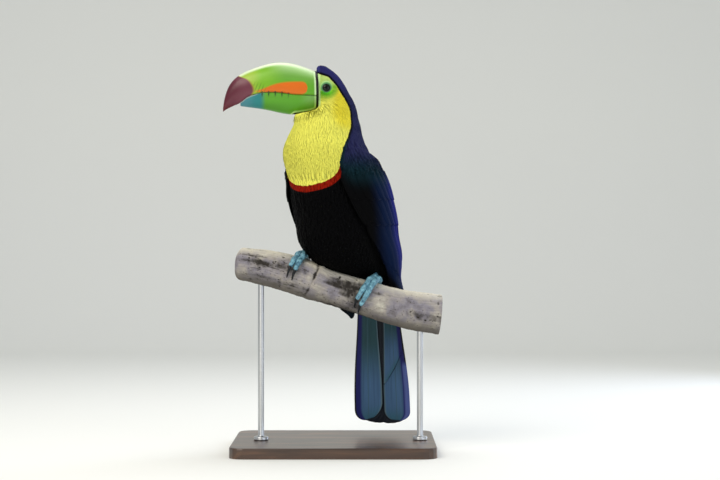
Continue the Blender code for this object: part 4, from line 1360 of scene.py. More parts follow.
def paint_bill(mesh, upper):
    """Writes on a half of the bill how far each point is inside each painted shape."""
    points = points_of(mesh)
    out, _ = find_on_bill(points)
    height = points[:, 2]
    lean = BILL_LEAN * np.clip(1.0 - out / BILL_LEAN_FADES, 0.0, 1.0)
    out = out + lean * (height - BILL_SECTIONS["root"][2])
    middle, half_height, edge, rim, _ = bill_oval(np.clip(out, 0.0, None))
    blaze_middle, blaze_half = read_table(BLAZE, out)
    tip_from, = read_table(TIP_FROM, height)
    up = (height - edge) / np.maximum(middle + half_height - edge, 1.0)
    down = (edge - height) / np.maximum(edge - rim, 1.0)
    root_line = BILL_RIM_WIDTH + 0.3 - out
    nowhere = np.full(len(points), NOT_PAINTED)
    chin_line = 1.5 - (height - rim) - 6.0 * soft(out, 26.0, 36.0)
    keep_numbers(
        mesh,
        out=out,
        up=up,
        down=down,
        blaze=blaze_half - np.abs(height - blaze_middle) if upper else nowhere,
        tip=out - tip_from if upper else nowhere,
        height=height,
        black_line=root_line if upper else np.maximum(root_line, chin_line),
        edge=np.abs(height - edge),
        # painted highlight along the lower bill's upper edge near its front
        pale_edge=soft(edge - height, 2.0, 0.9) * soft(out, 62.0, 72.0),
    )


# %% The bill's finish
STREAK_SPACING = 3.7
GROWTH_LEAN = 0.42
GRAIN = (26.0, 120.0, 120.0)  # lines about 8 mm wide and 40 mm long, drawn coarser than horn's own


def within(tree, share, ranges):
    """A share cut down to where every attribute is past its range: clear at from and full at to."""
    for past in ranges:
        both = add(tree, "ShaderNodeMath", {0: share, 1: passed(tree, *past)}, operation="MULTIPLY")
        share = both.outputs[0]
    return share


def horn(name, base, layers, notch_reach):
    """Satin horn: a smooth sheath with faint growth lines along it and a soft gleam."""
    made, tree, shader = new_material(name, Roughness=0.34, Specular_IOR_Level=0.34)
    colour = lay_colours(tree, linear(base), layers)
    out = add(tree, "ShaderNodeAttribute", attribute_name="out")
    phase = add(tree, "ShaderNodeMath", {0: out.outputs["Fac"], 1: NOTCHES_FROM}, operation="SUBTRACT")
    turn = add(tree, "ShaderNodeMath", {0: phase.outputs[0], 1: 2 * math.pi / NOTCH_SPACING},
               operation="MULTIPLY")
    wave = add(tree, "ShaderNodeMath", {0: turn.outputs[0]}, operation="COSINE")
    tick = add(tree, "ShaderNodeMapRange", {"Value": wave.outputs[0], "From Min": 0.72, "From Max": 0.92},
               interpolation_type="SMOOTHSTEP")
    notches = within(tree, tick.outputs[0], [
        ("out", NOTCHES_FROM - 3, NOTCHES_FROM + 3), ("out", NOTCHES_TO + 5, NOTCHES_TO - 2),
        ("edge", notch_reach, notch_reach * 0.3)])
    ticked = add(tree, "ShaderNodeMix", {0: notches, 6: colour, 7: linear("#123016")}, data_type="RGBA")
    slanted = add(tree, "ShaderNodeAttribute", attribute_name="height")
    lean = add(tree, "ShaderNodeMath", {0: slanted.outputs["Fac"], 1: GROWTH_LEAN, 2: out.outputs["Fac"]},
               operation="MULTIPLY_ADD")
    growth = add(tree, "ShaderNodeMath", {0: lean.outputs[0], 1: 2 * math.pi / STREAK_SPACING},
                 operation="MULTIPLY")
    line = add(tree, "ShaderNodeMath", {0: growth.outputs[0]}, operation="SINE")
    line_share = add(tree, "ShaderNodeMapRange", {"Value": line.outputs[0], "From Min": 0.2, "From Max": 1.0,
                                                  "To Max": 0.6})
    streaks = within(tree, line_share.outputs[0], [
        ("tip", -17.0, -12.0), ("tip", -1.5, -3.5), ("height", 401.0, 404.0), ("height", 416.0, 409.0)])
    grown = add(tree, "ShaderNodeMix", {0: streaks, 6: ticked.outputs[2], 7: linear("#3c6a1c")},
                data_type="RGBA")
    place = add(tree, "ShaderNodeTexCoord").outputs["Object"]
    stretch = add(tree, "ShaderNodeMapping", {"Vector": place, "Scale": GRAIN})
    grain = add(tree, "ShaderNodeTexNoise", {"Vector": stretch.outputs[0], "Scale": 1.0, "Detail": 5.0})
    varied = vary(tree, grown.outputs[2], grain.outputs["Fac"], 0.22, 0.89)
    cover(tree, shader, varied, grain.outputs["Fac"], 0.25, 0.0003)
    return made


upper_horn = horn("painted_upper_horn", "#5a9c24", [
    ("up", 0.30, 0.62, "#68a03c"),
    # painted highlight along the upper bill's ridge, where the light from above falls, over a slightly paler
    # tint of the horn
    ("up", 0.54, 0.94, "#a6cc88"),
    ("out", 34.0, 62.0, "#74ae20"),
    ("out", 62.0, 78.0, "#96b634"),
    # painted highlight: the near-white top of the ridge
    ("up", 0.84, 0.97, "#d6e6be"),
    ("blaze", -1.5, 1.3, "#d0660e"),
    ("tip", -3.4, 0.0, "#8a6a2c"),
    ("tip", -0.9, 0.9, "#66303e"),
    ("tip", 6.0, 24.0, "#551a2a"),
    ("height", 392.0, 384.0, "#5a1420"),
    ("black_line", -2.6, -0.9, "#bcdca4"),
    ("black_line", -0.3, 0.3, "#07090a"),
], 1.8)
lower_horn = horn("painted_lower_horn", "#6fa452", [
    ("out", 6.0, 24.0, "#559c22"),
    ("down", 0.25, 1.0, "#478a1a"),
    ("out", 58.5, 66.0, "#1f7a7c"),
    ("out", 68.0, 84.0, "#42808c"),
    # painted highlight along the front of the lower bill's edge
    ("pale_edge", 0.1, 0.9, "#9db0ac"),
    ("black_line", -2.6, -0.9, "#a6cc88"),
    ("black_line", -0.3, 0.3, "#07090a"),
], 6.2)
for half, end, finish in (("upper", BILL[-1][0], upper_horn), ("lower", LOWER_BILL_ENDS, lower_horn)):
    horn_half = piece("bill_sheath_" + half, [skin_through(bill_rings(end, half == "upper"))])
    paint_bill(horn_half.data, half == "upper")
    horn_half.data.materials.append(finish)
    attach(horn_half, "root")
    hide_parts("bill_" + half)
    print(horn_half.name, len(horn_half.data.polygons), "faces")

# %% [markdown]
# ## The eyes
#
# A museum eye is a glass ball with a black pupil, a dark olive iris and a front that gleams. It sits deep,
# and only a disc eight millimetres wide shows in the lids. Round it lies a ring of bare skin in folds, pale
# green at its rim and bright green below. The lids are turned like a moulding round the eye's axis, bent to
# the face, and added to the skin's own mesh.

# %% The eyes
# distance from the eye's axis, height above its centre
LID_PROFILE = ((4.3, 4.3), (4.0, 4.9), (3.98, 5.35), (4.15, 5.72), (4.5, 5.82), (4.85, 5.62), (5.05, 5.34),
               (5.3, 5.40), (5.65, 5.46), (5.95, 5.26), (6.15, 5.02), (6.45, 5.06), (6.8, 4.96), (7.1, 4.66),
               (7.5, 4.2), (8.1, 3.3), (8.1, 2.4), (6.0, 2.6), (4.6, 3.4))
HEAD_ROUNDS = 24.0
FOLD_DEPTH, FOLDS = 0.10, 23
BEHIND = 9.0  # put on the far half of the ball, so that the iris shows on one side only

# blown glass, painted behind: nearly black, with one small sharp gleam
glass, tree, shader = new_material("glass_eye", Roughness=0.07, Specular_IOR_Level=0.22)
iris = lay_colours(tree, linear("#010202"), [
    ("from_pupil", 1.9, 2.1, "#10180a"),
    ("from_pupil", 2.5, 3.3, "#1a230e"),
    ("from_pupil", 3.4, 3.9, "#070a05"),
])
tree.links.new(iris, shader.inputs["Base Color"])


def glass_ball(side):
    """A ball with its poles on the line of sight, so that the iris is round."""
    centre, sign = EYES[side][0], SIDES[side]
    turns = full_turn(48)
    rings = []
    for rise in np.radians(np.concatenate((np.linspace(0.8, 60, 30), np.linspace(64, 179, 24)))):
        ring = centre + HEAD_LEFT * sign * EYE_RADIUS * math.cos(rise) + EYE_RADIUS * math.sin(rise) * (
            HEAD_FORWARD * np.cos(turns)[:, None] + np.array((0, 0, 1.0)) * np.sin(turns)[:, None])
        rings.append(ring)
    ball = piece("glass_eye_" + side, [skin_through(rings)])
    keep_numbers(ball.data, from_pupil=off_eye(points_of(ball.data), side, BEHIND))
    ball.data.materials.append(glass)
    return ball


def lid_rings(centre, sign):
    """Profiles of the lids and the bare ring round the eye, one for each turn round its axis."""
    rings = []
    for turn in full_turn(96):
        ring = []
        for number, (reach, rise) in enumerate(LID_PROFILE):
            fold = FOLD_DEPTH * math.sin(turn * FOLDS + number) * float(soft(reach, 4.6, 6.0))
            almond = 1.0 + 0.05 * math.cos(2 * turn) * (reach < 5.0)
            ahead, up = reach * almond * math.cos(turn), reach * math.sin(turn)
            bend = (ahead ** 2 / (2 * HEAD_ROUNDS)) * float(soft(reach, 4.0, 7.0))
            ring.append(centre + HEAD_FORWARD * ahead + np.array((0, 0, up))
                        + HEAD_LEFT * sign * (rise - bend + fold))
        rings.append(ring)
    return rings


# %% The lids
# bare skin: slightly moist, with light that sinks in a little, over pebbles about 0.5 mm wide
bare_skin, tree, shader = new_material("bare_folded_skin", Roughness=0.55, Coat_Weight=0.05,
                                       Subsurface_Weight=0.05, Subsurface_Radius=(0.001, 0.001, 0.0006))
ringed = lay_colours(tree, linear("#1c3a28"), [
    ("from_eye", 4.3, 5.4, "#4f9152"),
    ("from_eye", 5.6, 7.0, "#9dca72"),
    ("lower_lid", 0.0, 1.0, "#3c961c"),
])
place = add(tree, "ShaderNodeTexCoord").outputs["Object"]
pebbles = add(tree, "ShaderNodeTexVoronoi", {"Vector": place, "Scale": 1900.0})
cover(tree, shader, ringed, pebbles.outputs["Distance"], 0.35, 0.00025)

lids = []
for side, sign in SIDES.items():
    ball = glass_ball(side)
    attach(ball, "root")
    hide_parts("eye_" + side)
    rings = lid_rings(EYES[side][0], sign)
    lids.append(skin_through(rings + rings[:1], ends=False))
lid_piece = piece("lids", lids)
turn_faces_out(lid_piece.data, merge_within=1e-6)
lid_points = points_of(lid_piece.data)
left_eye, right_eye = EYES["left"][0], EYES["right"][0]
on_left = lid_points @ HEAD_LEFT > (left_eye + right_eye) @ HEAD_LEFT / 2
away = lid_points - np.where(on_left[:, None], left_eye, right_eye)
from_eye = np.linalg.norm(np.cross(away, HEAD_LEFT), axis=1)
keep_numbers(lid_piece.data, from_eye=from_eye,
             lower_lid=soft(-away[:, 2] / from_eye, 0.35, 0.8) * soft(from_eye, 4.8, 5.6))


def join_to_skin(obj, finish):
    """Makes a piece part of the one skin, with a finish of its own."""
    first = len(body_skin.data.polygons)
    body_skin.data.materials.append(finish)
    joined = bmesh.new()
    joined.from_mesh(body_skin.data)
    for attribute in obj.data.attributes:
        if attribute.data_type == "FLOAT" and attribute.domain == "POINT":
            joined.verts.layers.float.new(attribute.name)
    joined.from_mesh(obj.data)
    joined.faces.ensure_lookup_table()
    for face in joined.faces[first:]:
        face.material_index = len(body_skin.data.materials) - 1
    joined.to_mesh(body_skin.data)
    joined.free()
    bpy.data.objects.remove(obj)
    print("skin with", finish.name, "has", len(body_skin.data.polygons), "faces")


join_to_skin(lid_piece, bare_skin)

# %% [markdown]
# ## The feet
#
# A toucan grips with two toes before the branch and two behind it. The toes are pale blue, swollen at each
# joint, with soft pads below and overlapping horn plates along the top. Each foot is lofted toe by toe along
# arcs round the branch, and a fine voxel remesh melts toes and leg into one skin. The plates are all alike
# but for their size, so a second node tree lays them along the toes.

# %% The feet
# start and end angle round the branch from its top, how far along it at root and tip, and the claw's length
TOES = {
    "right": {
        "outer_front": (-8.0, 70.0, -2.6, -8.6, 12.0),
        "inner_front": (-8.0, 76.0, 2.6, -2.2, 11.0),
        "outer_back": (8.0, -76.0, -2.6, -6.0, 11.0),
        "inner_back": (8.0, -52.0, 2.6, 6.0, 9.5),
    },
    "left": {
        "outer_front": (-8.0, 112.0, 2.6, -11.0, 12.0),
        "inner_front": (-8.0, 98.0, -2.6, -17.0, 11.0),
        "outer_back": (8.0, -76.0, 2.6, 7.0, 11.0),
        "inner_back": (8.0, -52.0, -2.6, -5.0, 9.5),
    },
}
TOE_ROOT_RADIUS, TOE_TIP_RADIUS, TOE_KNUCKLE = 3.5, 2.4, 0.6
CLAW_RADIUS, CLAW_LIFT = 1.9, 1.6
LEGS = {"right": (-43.0, (-20.0, 18.0, 246.0)), "left": (42.0, (36.0, 34.0, 220.0))}
PLATE_SPACING = 1.75
PLATE_OVERLAP = 2.1
FOOT_VOXEL = 0.5
OFF_BARK = 0.5
LEG_SHOWN = 0.34
LEG_RADIUS, ANKLE_SWELL = 3.7, 0.8


def branch_at(x):
    """(axis point, direction along, direction up, radius) of the branch."""
    y, height, radius = read_table(PERCH, x)
    low, high = (np.array([n] + read_table(PERCH, n)) for n in (x - 2, x + 2))
    along = unit(high[:3] - low[:3])
    up = unit(np.array((0, 0, 1.0)) - along * along[2])
    return np.array((x, y, height)), along, up, radius


def round_branch(foot_x, degrees, splay, off_bark):
    """Places round the branch at a foot: an angle from the top, a way along it, and a height off the bark."""
    axis, along, up, radius = branch_at(foot_x)
    front = np.cross(along, up)
    front = -front if front[1] > 0 else front
    turn = np.radians(degrees)
    out = up * np.cos(turn)[:, None] + front * np.sin(turn)[:, None]
    return axis + along * splay[:, None] + out * (radius + off_bark)[:, None], out


def toe_radius(share):
    """A toe thins towards its claw and swells at each of its joints."""
    taper = TOE_ROOT_RADIUS + (TOE_TIP_RADIUS - TOE_ROOT_RADIUS) * share
    return taper + TOE_KNUCKLE * np.cos(np.pi * 3 * share) ** 2


def rings_along(path, out, wide, tall, segments):
    """Rings round a path. out points off the bark, and wide and tall are half widths across and along it."""
    ahead = unit(np.gradient(path, axis=0))
    out = unit(out - ahead * (out * ahead).sum(axis=1)[:, None])
    side = np.cross(ahead, out)
    turns = full_turn(segments)
    return (path[:, None, :] + side[:, None, :] * (np.sin(turns)[None, :] * wide[:, None])[..., None]
            + out[:, None, :] * (np.cos(turns)[None, :] * tall[:, None])[..., None])


def toe_shapes(foot_x, toe):
    """One toe's loft, and the places, lies and sizes of its plates."""
    start, end, root_splay, tip_splay, _ = toe
    share = np.linspace(0, 1, 40)
    radius = toe_radius(share)
    path, out = round_branch(foot_x, start + (end - start) * share,
                             root_splay + (tip_splay - root_splay) * share, radius * 0.94 + OFF_BARK)
    blunt = np.sqrt(np.clip(1 - np.clip((share - 0.90) / 0.10, 0, 1) ** 2, 0.06, 1))
    loft = skin_through(rings_along(path, out, radius * blunt, radius * blunt * 0.98, 18))
    length = np.linalg.norm(np.diff(path, axis=0), axis=1).sum()
    count = int(length / PLATE_SPACING)
    rows = np.linspace(0.10, 0.87, count)
    places = np.stack([np.interp(rows, share, column) for column in path.T], axis=-1)
    ups = unit(np.stack([np.interp(rows, share, column) for column in out.T], axis=-1))
    steps = np.gradient(path, axis=0).T
    lies = unit(np.stack([np.interp(rows, share, column) for column in steps], axis=-1))
    return loft, places, lies, ups, toe_radius(rows)


def claw_shape(foot_x, toe):
    """A claw is a narrow horn that arches off the bark and comes down to it."""
    _, end, _, splay, length = toe
    radius = branch_at(foot_x)[3]
    sign = math.copysign(1.0, end)
    start = end - sign * 3.0
    share = np.linspace(0, 1, 22)
    thickness = CLAW_RADIUS * (1 - share) ** 0.55 + 0.16
    lift = thickness + 0.5 + CLAW_LIFT * np.sin(np.pi * share) * (1 - share * 0.5)
    degrees = start + sign * (np.degrees(length / radius) + 3.5) * share
    path, out = round_branch(foot_x, degrees, np.full(22, splay), lift)
    return skin_through(rings_along(path, out, thickness * 0.9, thickness * 1.05, 14))


def plate_pattern():
    """A shield over the top of a toe of radius one, along +Y, thicker at its free end."""
    inner, outer = [], []
    for along, rise in ((-0.1, 0.0), (0.4, 0.075), (0.62, 0.05)):
        turns = np.linspace(-1.25, 1.25, 7) * (1 - 0.12 * max(along, 0.0))
        inner.append([(math.sin(t) * 0.93, along, math.cos(t) * 0.93) for t in turns])
        outer.append([(math.sin(t) * (1.0 + rise), along, math.cos(t) * (1.0 + rise)) for t in turns])
    points, faces = skin_through([top + under[::-1] for top, under in zip(outer, inner)])
    mesh = new_mesh("toe_plate", (np.array(points) * MM).tolist(), faces)
    turn_faces_out(mesh)
    return show("toe_plate", mesh)


def plating_tree():
    """Puts one plate at each point, turned to its lie and its up, and scaled to its toe."""
    tree, given = new_tree("lay plates along toes", {
        "Places": "Geometry", "Plate": "Object", "Length": "Float", "Finish": "Material"}, "Plates")
    lie = add(tree, "GeometryNodeInputNamedAttribute", {"Name": "lie"}, data_type="FLOAT_VECTOR")
    up = add(tree, "GeometryNodeInputNamedAttribute", {"Name": "up"}, data_type="FLOAT_VECTOR")
    size = add(tree, "GeometryNodeInputNamedAttribute", {"Name": "size"}, data_type="FLOAT")
    turned = add(tree, "FunctionNodeAxesToRotation", {
        "Primary Axis": up.outputs["Attribute"], "Secondary Axis": lie.outputs["Attribute"]},
        primary_axis="Z", secondary_axis="Y")
    scale = add(tree, "ShaderNodeCombineXYZ", {
        "X": size.outputs["Attribute"], "Y": given["Length"], "Z": size.outputs["Attribute"]})
    return lay_patterns(tree, given, given["Places"], given["Plate"], turned.outputs[0], scale.outputs[0])


# %% The feet's finishes
# leathery scales: a low waxy sheen over blue that wanders, with grains about 1 mm wide
foot_skin, tree, shader = new_material("blue_leathery_foot", Roughness=0.42, Coat_Weight=0.15,
                                       Coat_Roughness=0.3)
place = add(tree, "ShaderNodeTexCoord").outputs["Object"]
patches = add(tree, "ShaderNodeTexNoise", {"Vector": place, "Scale": 340.0, "Detail": 5.0})
tints = add(tree, "ShaderNodeValToRGB", {0: patches.outputs["Fac"]},
            stops=((0.30, "#285873"), (0.70, "#86bfce")))
cells = add(tree, "ShaderNodeTexVoronoi", {"Vector": place, "Scale": 1100.0})
cover(tree, shader, tints.outputs["Color"], cells.outputs["Distance"], 0.5, 0.0003)

# worn horn: black and satin, with fibres about 1 mm wide, drawn coarser than real ones
claw_horn, tree, shader = new_material("black_claw_horn", Roughness=0.36, Specular_IOR_Level=0.3)
place = add(tree, "ShaderNodeTexCoord").outputs["Object"]
stretch = add(tree, "ShaderNodeMapping", {"Vector": place, "Scale": (900.0, 900.0, 160.0)})
fibres = add(tree, "ShaderNodeTexNoise", {"Vector": stretch.outputs[0], "Scale": 1.0, "Detail": 3.0})
tints = add(tree, "ShaderNodeValToRGB", {0: fibres.outputs["Fac"]},
            stops=((0.0, "#05070a"), (1.0, "#10161b")))
cover(tree, shader, tints.outputs["Color"], fibres.outputs["Fac"], 0.3, 0.0002)
print("made", foot_skin.name, "and", claw_horn.name)

# %% The feet on the branch
PLATING = plating_tree()
toe_plate = plate_pattern()
feet = []
for side, (foot_x, hip) in LEGS.items():
    axis, along, up, radius = branch_at(foot_x)
    sole = axis + up * (radius + TOE_ROOT_RADIUS + OFF_BARK)
    top = sole + (np.array(hip) - sole) * LEG_SHOWN
    rise = np.linspace(-0.12, 1, 16)[:, None]
    path = sole + (top - sole) * rise
    girth = LEG_RADIUS + ANKLE_SWELL * np.exp(-(rise[:, 0] / 0.25) ** 2)
    shapes = [skin_through(rings_along(path, np.repeat([along], 16, axis=0), girth, girth * 0.92, 18))]
    plates = []
    for toe in TOES[side].values():
        loft, *laid = toe_shapes(foot_x, toe)
        shapes.append(loft)
        plates.append(laid)
    foot = piece("foot_" + side, shapes)
    melt_together(foot, FOOT_VOXEL, 4)

    places, lies, ups, sizes = (np.concatenate(parts) for parts in zip(*plates))
    spots = new_mesh("plate_places", in_frame(places).tolist(), [])
    keep_numbers(spots, lie=lies, up=ups, size=sizes)
    scutes = show("toe_plates_" + side, spots)
    use_tree(scutes, PLATING, {
        "Plate": toe_plate, "Length": PLATE_SPACING * PLATE_OVERLAP, "Finish": foot_skin})
    settle(scutes)
    pattern = np.array([vertex.co[:2] for vertex in toe_plate.data.vertices]) / MM
    vane = np.tile(pattern * (0.5, 1.0) + (0.5, 0.1), (len(places), 1))[corners_of(scutes.data)]
    map_patches(scutes.data, np.repeat(places, len(pattern), axis=0), vane)

    for name, toe in TOES[side].items():
        claw = piece(f"horn_claw_{name}_{side}", [claw_shape(foot_x, toe)])
        claw.data.materials.append(claw_horn)
        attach(claw, "root")
        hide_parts(f"claw_{name}_{side}")
    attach(scutes, "root")
    print("foot", side, "has", len(foot.data.polygons), "faces and", len(sizes), "plates")
    feet.append(foot)
bpy.data.objects.remove(toe_plate)
gather(feet[0].data, feet[1].data)
bpy.data.objects.remove(feet[1])
join_to_skin(feet[0], foot_skin)

# %% [markdown]
# ## The branch
#
# A dead branch as thick as a wrist, its grey bark weathered to a hard skin with long shallow flutes,
# wrinkles, pits and cracks. Its finish is paler along the top, partly rubbed wear and partly a painted
# highlight of the light from above, with painted shade on the underside and in the grooves and pits. It is a
# tube of fine quads along the branch's axis, and noise on two measures, along and around, pushes the bark in
# and out. The finish reads the same two, so that cracks run with the grain. One end is sawn and shows its
# year rings, and the other is broken and worn round.

# %% The branch
BARK_STATIONS, BARK_AROUND = 330, 150
BARK_SUNK = 0.35
KNOT_AT = -24.0
WORN_LENGTH = 9.0


def bark_height(along, turn, radius):
    """How far the bark stands out, in millimetres, at a place along the branch and an angle round it."""
    ring = Vector((math.cos(turn) * radius, math.sin(turn) * radius, 0.0))

    def at(lengthwise, across, from_start=0.0, from_side=0.0):
        """Where noise is read, shrunk along and across the branch, and shifted."""
        return Vector((along * lengthwise + from_start, ring.x * across + from_side, ring.y * across))

    flutes = noise.fractal(at(0.012, 0.09), 1.0, 2.0, 3) * 1.1
    wrinkles = noise.fractal(at(0.16, 0.10), 0.9, 2.1, 4) * 0.42
    fine = noise.fractal(at(0.55, 0.45), 0.8, 2.2, 3) * 0.16
    crack = noise.noise(at(0.035, 0.33, from_side=5.0))
    groove = -0.7 * max(0.0, 1 - abs(crack) / 0.045)
    drift = along - KNOT_AT - 3.0 * math.sin(turn + 0.6)
    drift -= 1.5 * noise.noise(Vector((ring.x * 0.2, ring.y * 0.2, 3.0)))
    knot = 1.5 * math.exp(-((drift - 3.0) / 4.2) ** 2) - 1.3 * math.exp(-((drift + 2.2) / 1.6) ** 2)
    lump = 1.3 * noise.noise(at(0.030, 0.03, from_side=9.0))
    pit = noise.noise(at(0.22, 0.26, from_start=40.0))
    hole = -0.9 * float(soft(pit, 0.52, 0.66))
    groove *= noise.noise(Vector((along * 0.02, turn, 7.0))) > -0.25
    knot *= 0.55 + 0.45 * math.sin(turn + 0.4)
    return flutes + wrinkles + fine + groove + knot + lump + hole


first, last = PERCH[0, 0], PERCH[-1, 0]
stations = np.linspace(first, last, BARK_STATIONS)
turns = full_turn(BARK_AROUND)
rings, numbers = [], []
for x in stations:
    axis, along, up, radius = branch_at(float(x))
    side_way = np.cross(along, up)
    worn = math.sqrt(max(1 - max(0.0, 1 - (x - first) / WORN_LENGTH) ** 2.4, 0.02))
    sawn = 1.0 - 0.02 * float(soft(x, last - 1.5, last))
    heights = np.array([bark_height(float(x), float(turn), radius) for turn in turns])
    reach = (radius - BARK_SUNK + heights * worn) * worn * sawn
    way = up * np.cos(turns)[:, None] + side_way * np.sin(turns)[:, None]
    rings.append(axis + way * reach[:, None])
    numbers.append((np.full(BARK_AROUND, x), turns * radius, heights, np.cos(turns)))
for inward in (0.92, 0.75, 0.5, 0.25, 0.08):
    rings.append(axis + (rings[BARK_STATIONS - 1] - axis) * inward)
    numbers.append((np.full(BARK_AROUND, last), turns * radius, np.full(BARK_AROUND, -0.5), turns * 0.0))
branch = piece("bark_branch", [skin_through(rings)])
at_ends = ((first, last), (0.0, 0.0), (0.0, 0.0), (0.0, 0.0))
along, around, relief, upward = np.concatenate([*numbers, at_ends], axis=1)
from_heart = np.concatenate([np.linalg.norm(ring - np.mean(ring, axis=0), axis=1) for ring in rings])
keep_numbers(branch.data, along=along, around=around, relief=relief, upward=upward,
             from_heart=np.append(from_heart, (0.0, 0.0)))
print("branch of", len(branch.data.polygons), "faces")

# %% The bark's finish
# dead bark, dried and bleached: dull and dusty, in grey and cream clouds about 26 mm wide with dark pits
bark, tree, shader = new_material("weathered_grey_bark", Roughness=0.88, Specular_IOR_Level=0.25)
along = add(tree, "ShaderNodeAttribute", attribute_name="along")
around = add(tree, "ShaderNodeAttribute", attribute_name="around")
grain = add(tree, "ShaderNodeCombineXYZ", {"X": along.outputs["Fac"], "Y": around.outputs["Fac"]})
place = add(tree, "ShaderNodeTexCoord").outputs["Object"]
broad = add(tree, "ShaderNodeTexNoise", {"Vector": place, "Scale": 38.0, "Detail": 5.0, "Roughness": 0.62})
tints = add(tree, "ShaderNodeValToRGB", {0: broad.outputs["Fac"]},
            stops=((0.30, "#625d5c"), (0.44, "#86828a"), (0.58, "#a29c94"), (0.74, "#c9c5b6")))
# wood fibres about 2 mm wide and 20 mm long, drawn coarser than real ones
fibre_map = add(tree, "ShaderNodeMapping", {"Vector": grain.outputs[0], "Scale": (0.05, 0.55, 1.0)})
fibres = add(tree, "ShaderNodeTexNoise", {
    "Vector": fibre_map.outputs[0], "Scale": 1.0, "Detail": 6.0, "Roughness": 0.65})
fibred = vary(tree, tints.outputs["Color"], fibres.outputs["Fac"], 0.9, 0.55)
speck = add(tree, "ShaderNodeTexVoronoi", {"Vector": place, "Scale": 210.0})
specked = add(tree, "ShaderNodeMapRange", {
    "Value": speck.outputs["Distance"], "From Min": 0.10, "From Max": 0.20, "To Min": 0.62, "To Max": 0.0},
    interpolation_type="SMOOTHSTEP")
dotted = add(tree, "ShaderNodeMix", {0: specked.outputs[0], 6: fibred, 7: linear("#3b3630")},
             data_type="RGBA")
lit_and_shaded_bark = lay_colours(tree, dotted.outputs[2], [
    # paler along the top: partly rubbed wear, partly a painted highlight of the light from above
    ("upward", 0.5, 1.3, "#ece6cf"),
    # painted shade: darker on the underside
    ("upward", -0.2, -1.1, "#5f5a52"),
    # painted shade: darker in the grooves and pits, the deeper the darker
    ("relief", -0.15, -1.3, "#2f2b27"),
])
# plates of bark about 8 mm long and 2.4 mm wide, parted by fine cracks
crackle_map = add(tree, "ShaderNodeMapping", {"Vector": grain.outputs[0], "Scale": (0.12, 0.42, 1.0)})
crackle = add(tree, "ShaderNodeTexVoronoi", {"Vector": crackle_map.outputs[0], "Scale": 1.0},
              feature="DISTANCE_TO_EDGE")
crack_line = add(tree, "ShaderNodeMapRange", {
    "Value": crackle.outputs["Distance"], "From Min": 0.0, "From Max": 0.06}, interpolation_type="SMOOTHSTEP")
both = add(tree, "ShaderNodeMath", {0: crack_line.outputs[0], 1: 0.35, 2: fibres.outputs["Fac"]},
           operation="MULTIPLY_ADD")
cover(tree, shader, lit_and_shaded_bark, both.outputs[0], 0.55, 0.0007)

# %% The sawn end
RING_SPACING = 3.4  # year rings, drawn about twice as far apart as real ones
# dry sawn wood: rough, straw-brown, with darker rings
end_grain, tree, shader = new_material("sawn_end_grain", Roughness=0.8)
heart = add(tree, "ShaderNodeAttribute", attribute_name="from_heart")
place = add(tree, "ShaderNodeTexCoord").outputs["Object"]
waver = add(tree, "ShaderNodeTexNoise", {"Vector": place, "Scale": 90.0, "Detail": 2.0})
year = add(tree, "ShaderNodeMath", {0: waver.outputs["Fac"], 1: 1.6, 2: heart.outputs["Fac"]},
           operation="MULTIPLY_ADD")
rhythm = add(tree, "ShaderNodeMath", {0: year.outputs[0], 1: 2 * math.pi / RING_SPACING},
             operation="MULTIPLY")
rings_wave = add(tree, "ShaderNodeMath", {0: rhythm.outputs[0]}, operation="SINE")
rings_share = add(tree, "ShaderNodeMapRange", {
    "Value": rings_wave.outputs[0], "From Min": -0.2, "From Max": 1.0})
ringed = add(tree, "ShaderNodeMix", {0: rings_share.outputs[0], 6: linear("#b79a72"), 7: linear("#7d6242")},
             data_type="RGBA")
cover(tree, shader, ringed.outputs[2], rings_wave.outputs[0], 0.3, 0.0002)

branch.data.materials.append(bark)
branch.data.materials.append(end_grain)
sawn_from = (BARK_STATIONS - 1) * BARK_AROUND
for face in branch.data.polygons:
    face.material_index = int(min(face.vertices) >= sawn_from)
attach(branch, "root")
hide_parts("perch_branch")
print(sum(face.material_index for face in branch.data.polygons), "faces show the sawn end")

# %% [markdown]
# ## The display stand
#
# A flat board of dark walnut, lacquered satin, and two bright steel rods with turned collars. The board's
# solid already has rounded corners and eased edges, so it only gets a finish. The rods are lathed anew from
# the frame's measures, with more faces round, and run up into the bark.

# %% The display stand
# walnut under satin lacquer: a soft gloss over dark streaks about 10 mm wide and pores about 1 mm
walnut, tree, shader = new_material("lacquered_walnut", Roughness=0.34, Coat_Weight=0.35, Coat_Roughness=0.18)
place = add(tree, "ShaderNodeTexCoord").outputs["Object"]
along = add(tree, "ShaderNodeMapping", {"Vector": place, "Scale": (9.0, 95.0, 60.0)})
waver = add(tree, "ShaderNodeTexNoise", {
    "Vector": along.outputs[0], "Scale": 1.0, "Detail": 6.0, "Distortion": 0.7})
figure = add(tree, "ShaderNodeValToRGB", {0: waver.outputs["Fac"]},
             stops=((0.32, "#2a1a10"), (0.5, "#472f1f"), (0.70, "#6b4930")))
pores = add(tree, "ShaderNodeMapping", {"Vector": place, "Scale": (60.0, 1500.0, 900.0)})
pore = add(tree, "ShaderNodeTexNoise", {"Vector": pores.outputs[0], "Scale": 1.0, "Detail": 2.0})
cover(tree, shader, figure.outputs["Color"], pore.outputs["Fac"], 0.2, 0.0002)
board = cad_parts["stand_base"]
board.data.materials.clear()
board.data.materials.append(walnut)

# %% The rods
COLLAR_RADIUS, ROD_RADIUS = 8.5, 3.5
COLLAR_HEIGHT, EASED_EDGE, SHOULDER, FILLET = 4.0, 0.5, 1.2, 1.6
EVEN_FROM_END = 30.0
INTO_BARK = 1.0

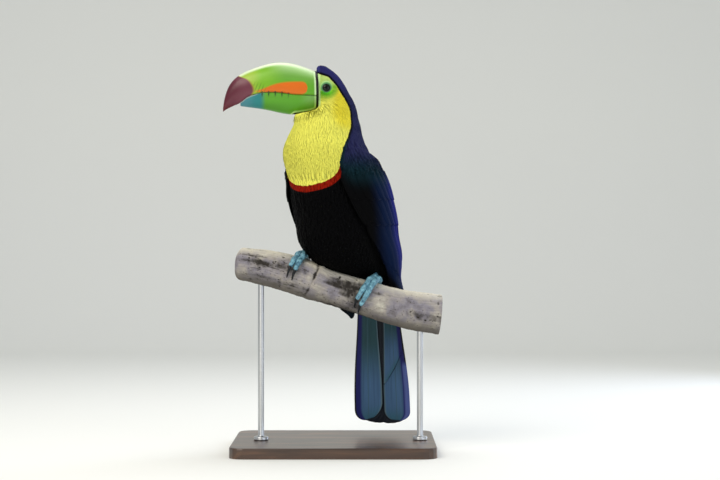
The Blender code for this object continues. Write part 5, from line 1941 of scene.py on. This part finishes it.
# stainless steel, brushed round the rod: bright, with strokes about 0.3 mm apart that spread the gleam
steel, tree, shader = new_material("brushed_stainless_steel", Metallic=1.0, Roughness=0.3)
place = add(tree, "ShaderNodeTexCoord").outputs["Object"]
brushing = add(tree, "ShaderNodeMapping", {"Vector": place, "Scale": (80.0, 80.0, 3200.0)})
strokes = add(tree, "ShaderNodeTexNoise", {"Vector": brushing.outputs[0], "Scale": 1.0, "Detail": 3.0})
greys = add(tree, "ShaderNodeValToRGB", {0: strokes.outputs["Fac"]},
            stops=((0.0, "#a9abad"), (1.0, "#d3d5d6")))
cover(tree, shader, greys.outputs["Color"], strokes.outputs["Fac"], 0.15, 0.0001)

turns = full_turn(48)
for side in SIDES:
    low, high = (laid_out(corner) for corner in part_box("stand_rod_" + side))
    collar = (high[0] - low[0]) / 2
    rod = collar * ROD_RADIUS / COLLAR_RADIUS
    middle = (low + high) / 2
    foot, top = low[2], low[2] + COLLAR_HEIGHT
    profile = [(collar * 0.5, foot), (collar - EASED_EDGE, foot), (collar, foot + EASED_EDGE),
               (collar, top - SHOULDER)]
    profile += [(collar - SHOULDER * (1 - math.cos(a)), top - SHOULDER * (1 - math.sin(a)))
                for a in np.radians((30, 60, 90))]
    profile += [(rod + FILLET * (1 - math.sin(a)), top + FILLET * (1 - math.cos(a)))
                for a in np.radians((0, 30, 60, 90))]
    profile += [(rod, foot + EVEN_FROM_END), (rod, high[2] - EVEN_FROM_END), (rod, high[2] + INTO_BARK)]
    rings = [[(middle[0] + r * math.cos(t), middle[1] + r * math.sin(t), z) for t in turns]
             for r, z in profile]
    turned = piece("turned_rod_" + side, [skin_through(rings)])
    turned.data.set_sharp_from_angle(angle=math.radians(40))
    turned.data.materials.append(steel)
    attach(turned, "root")
    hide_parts("stand_rod_" + side)
print("rods of", round(high[2] - low[2], 1), "mm turned")

# %% [markdown]
# ## Join the frame
#
# Every piece rides on the one body, and the solids that the new pieces stand in for are hidden.

# %% Join the frame
for dressing in coat:
    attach(dressing, "root")
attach(body_skin, "root")
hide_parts("head", "neck", "trunk", "wing_left", "wing_right", "tail", "leg_left", "leg_right")
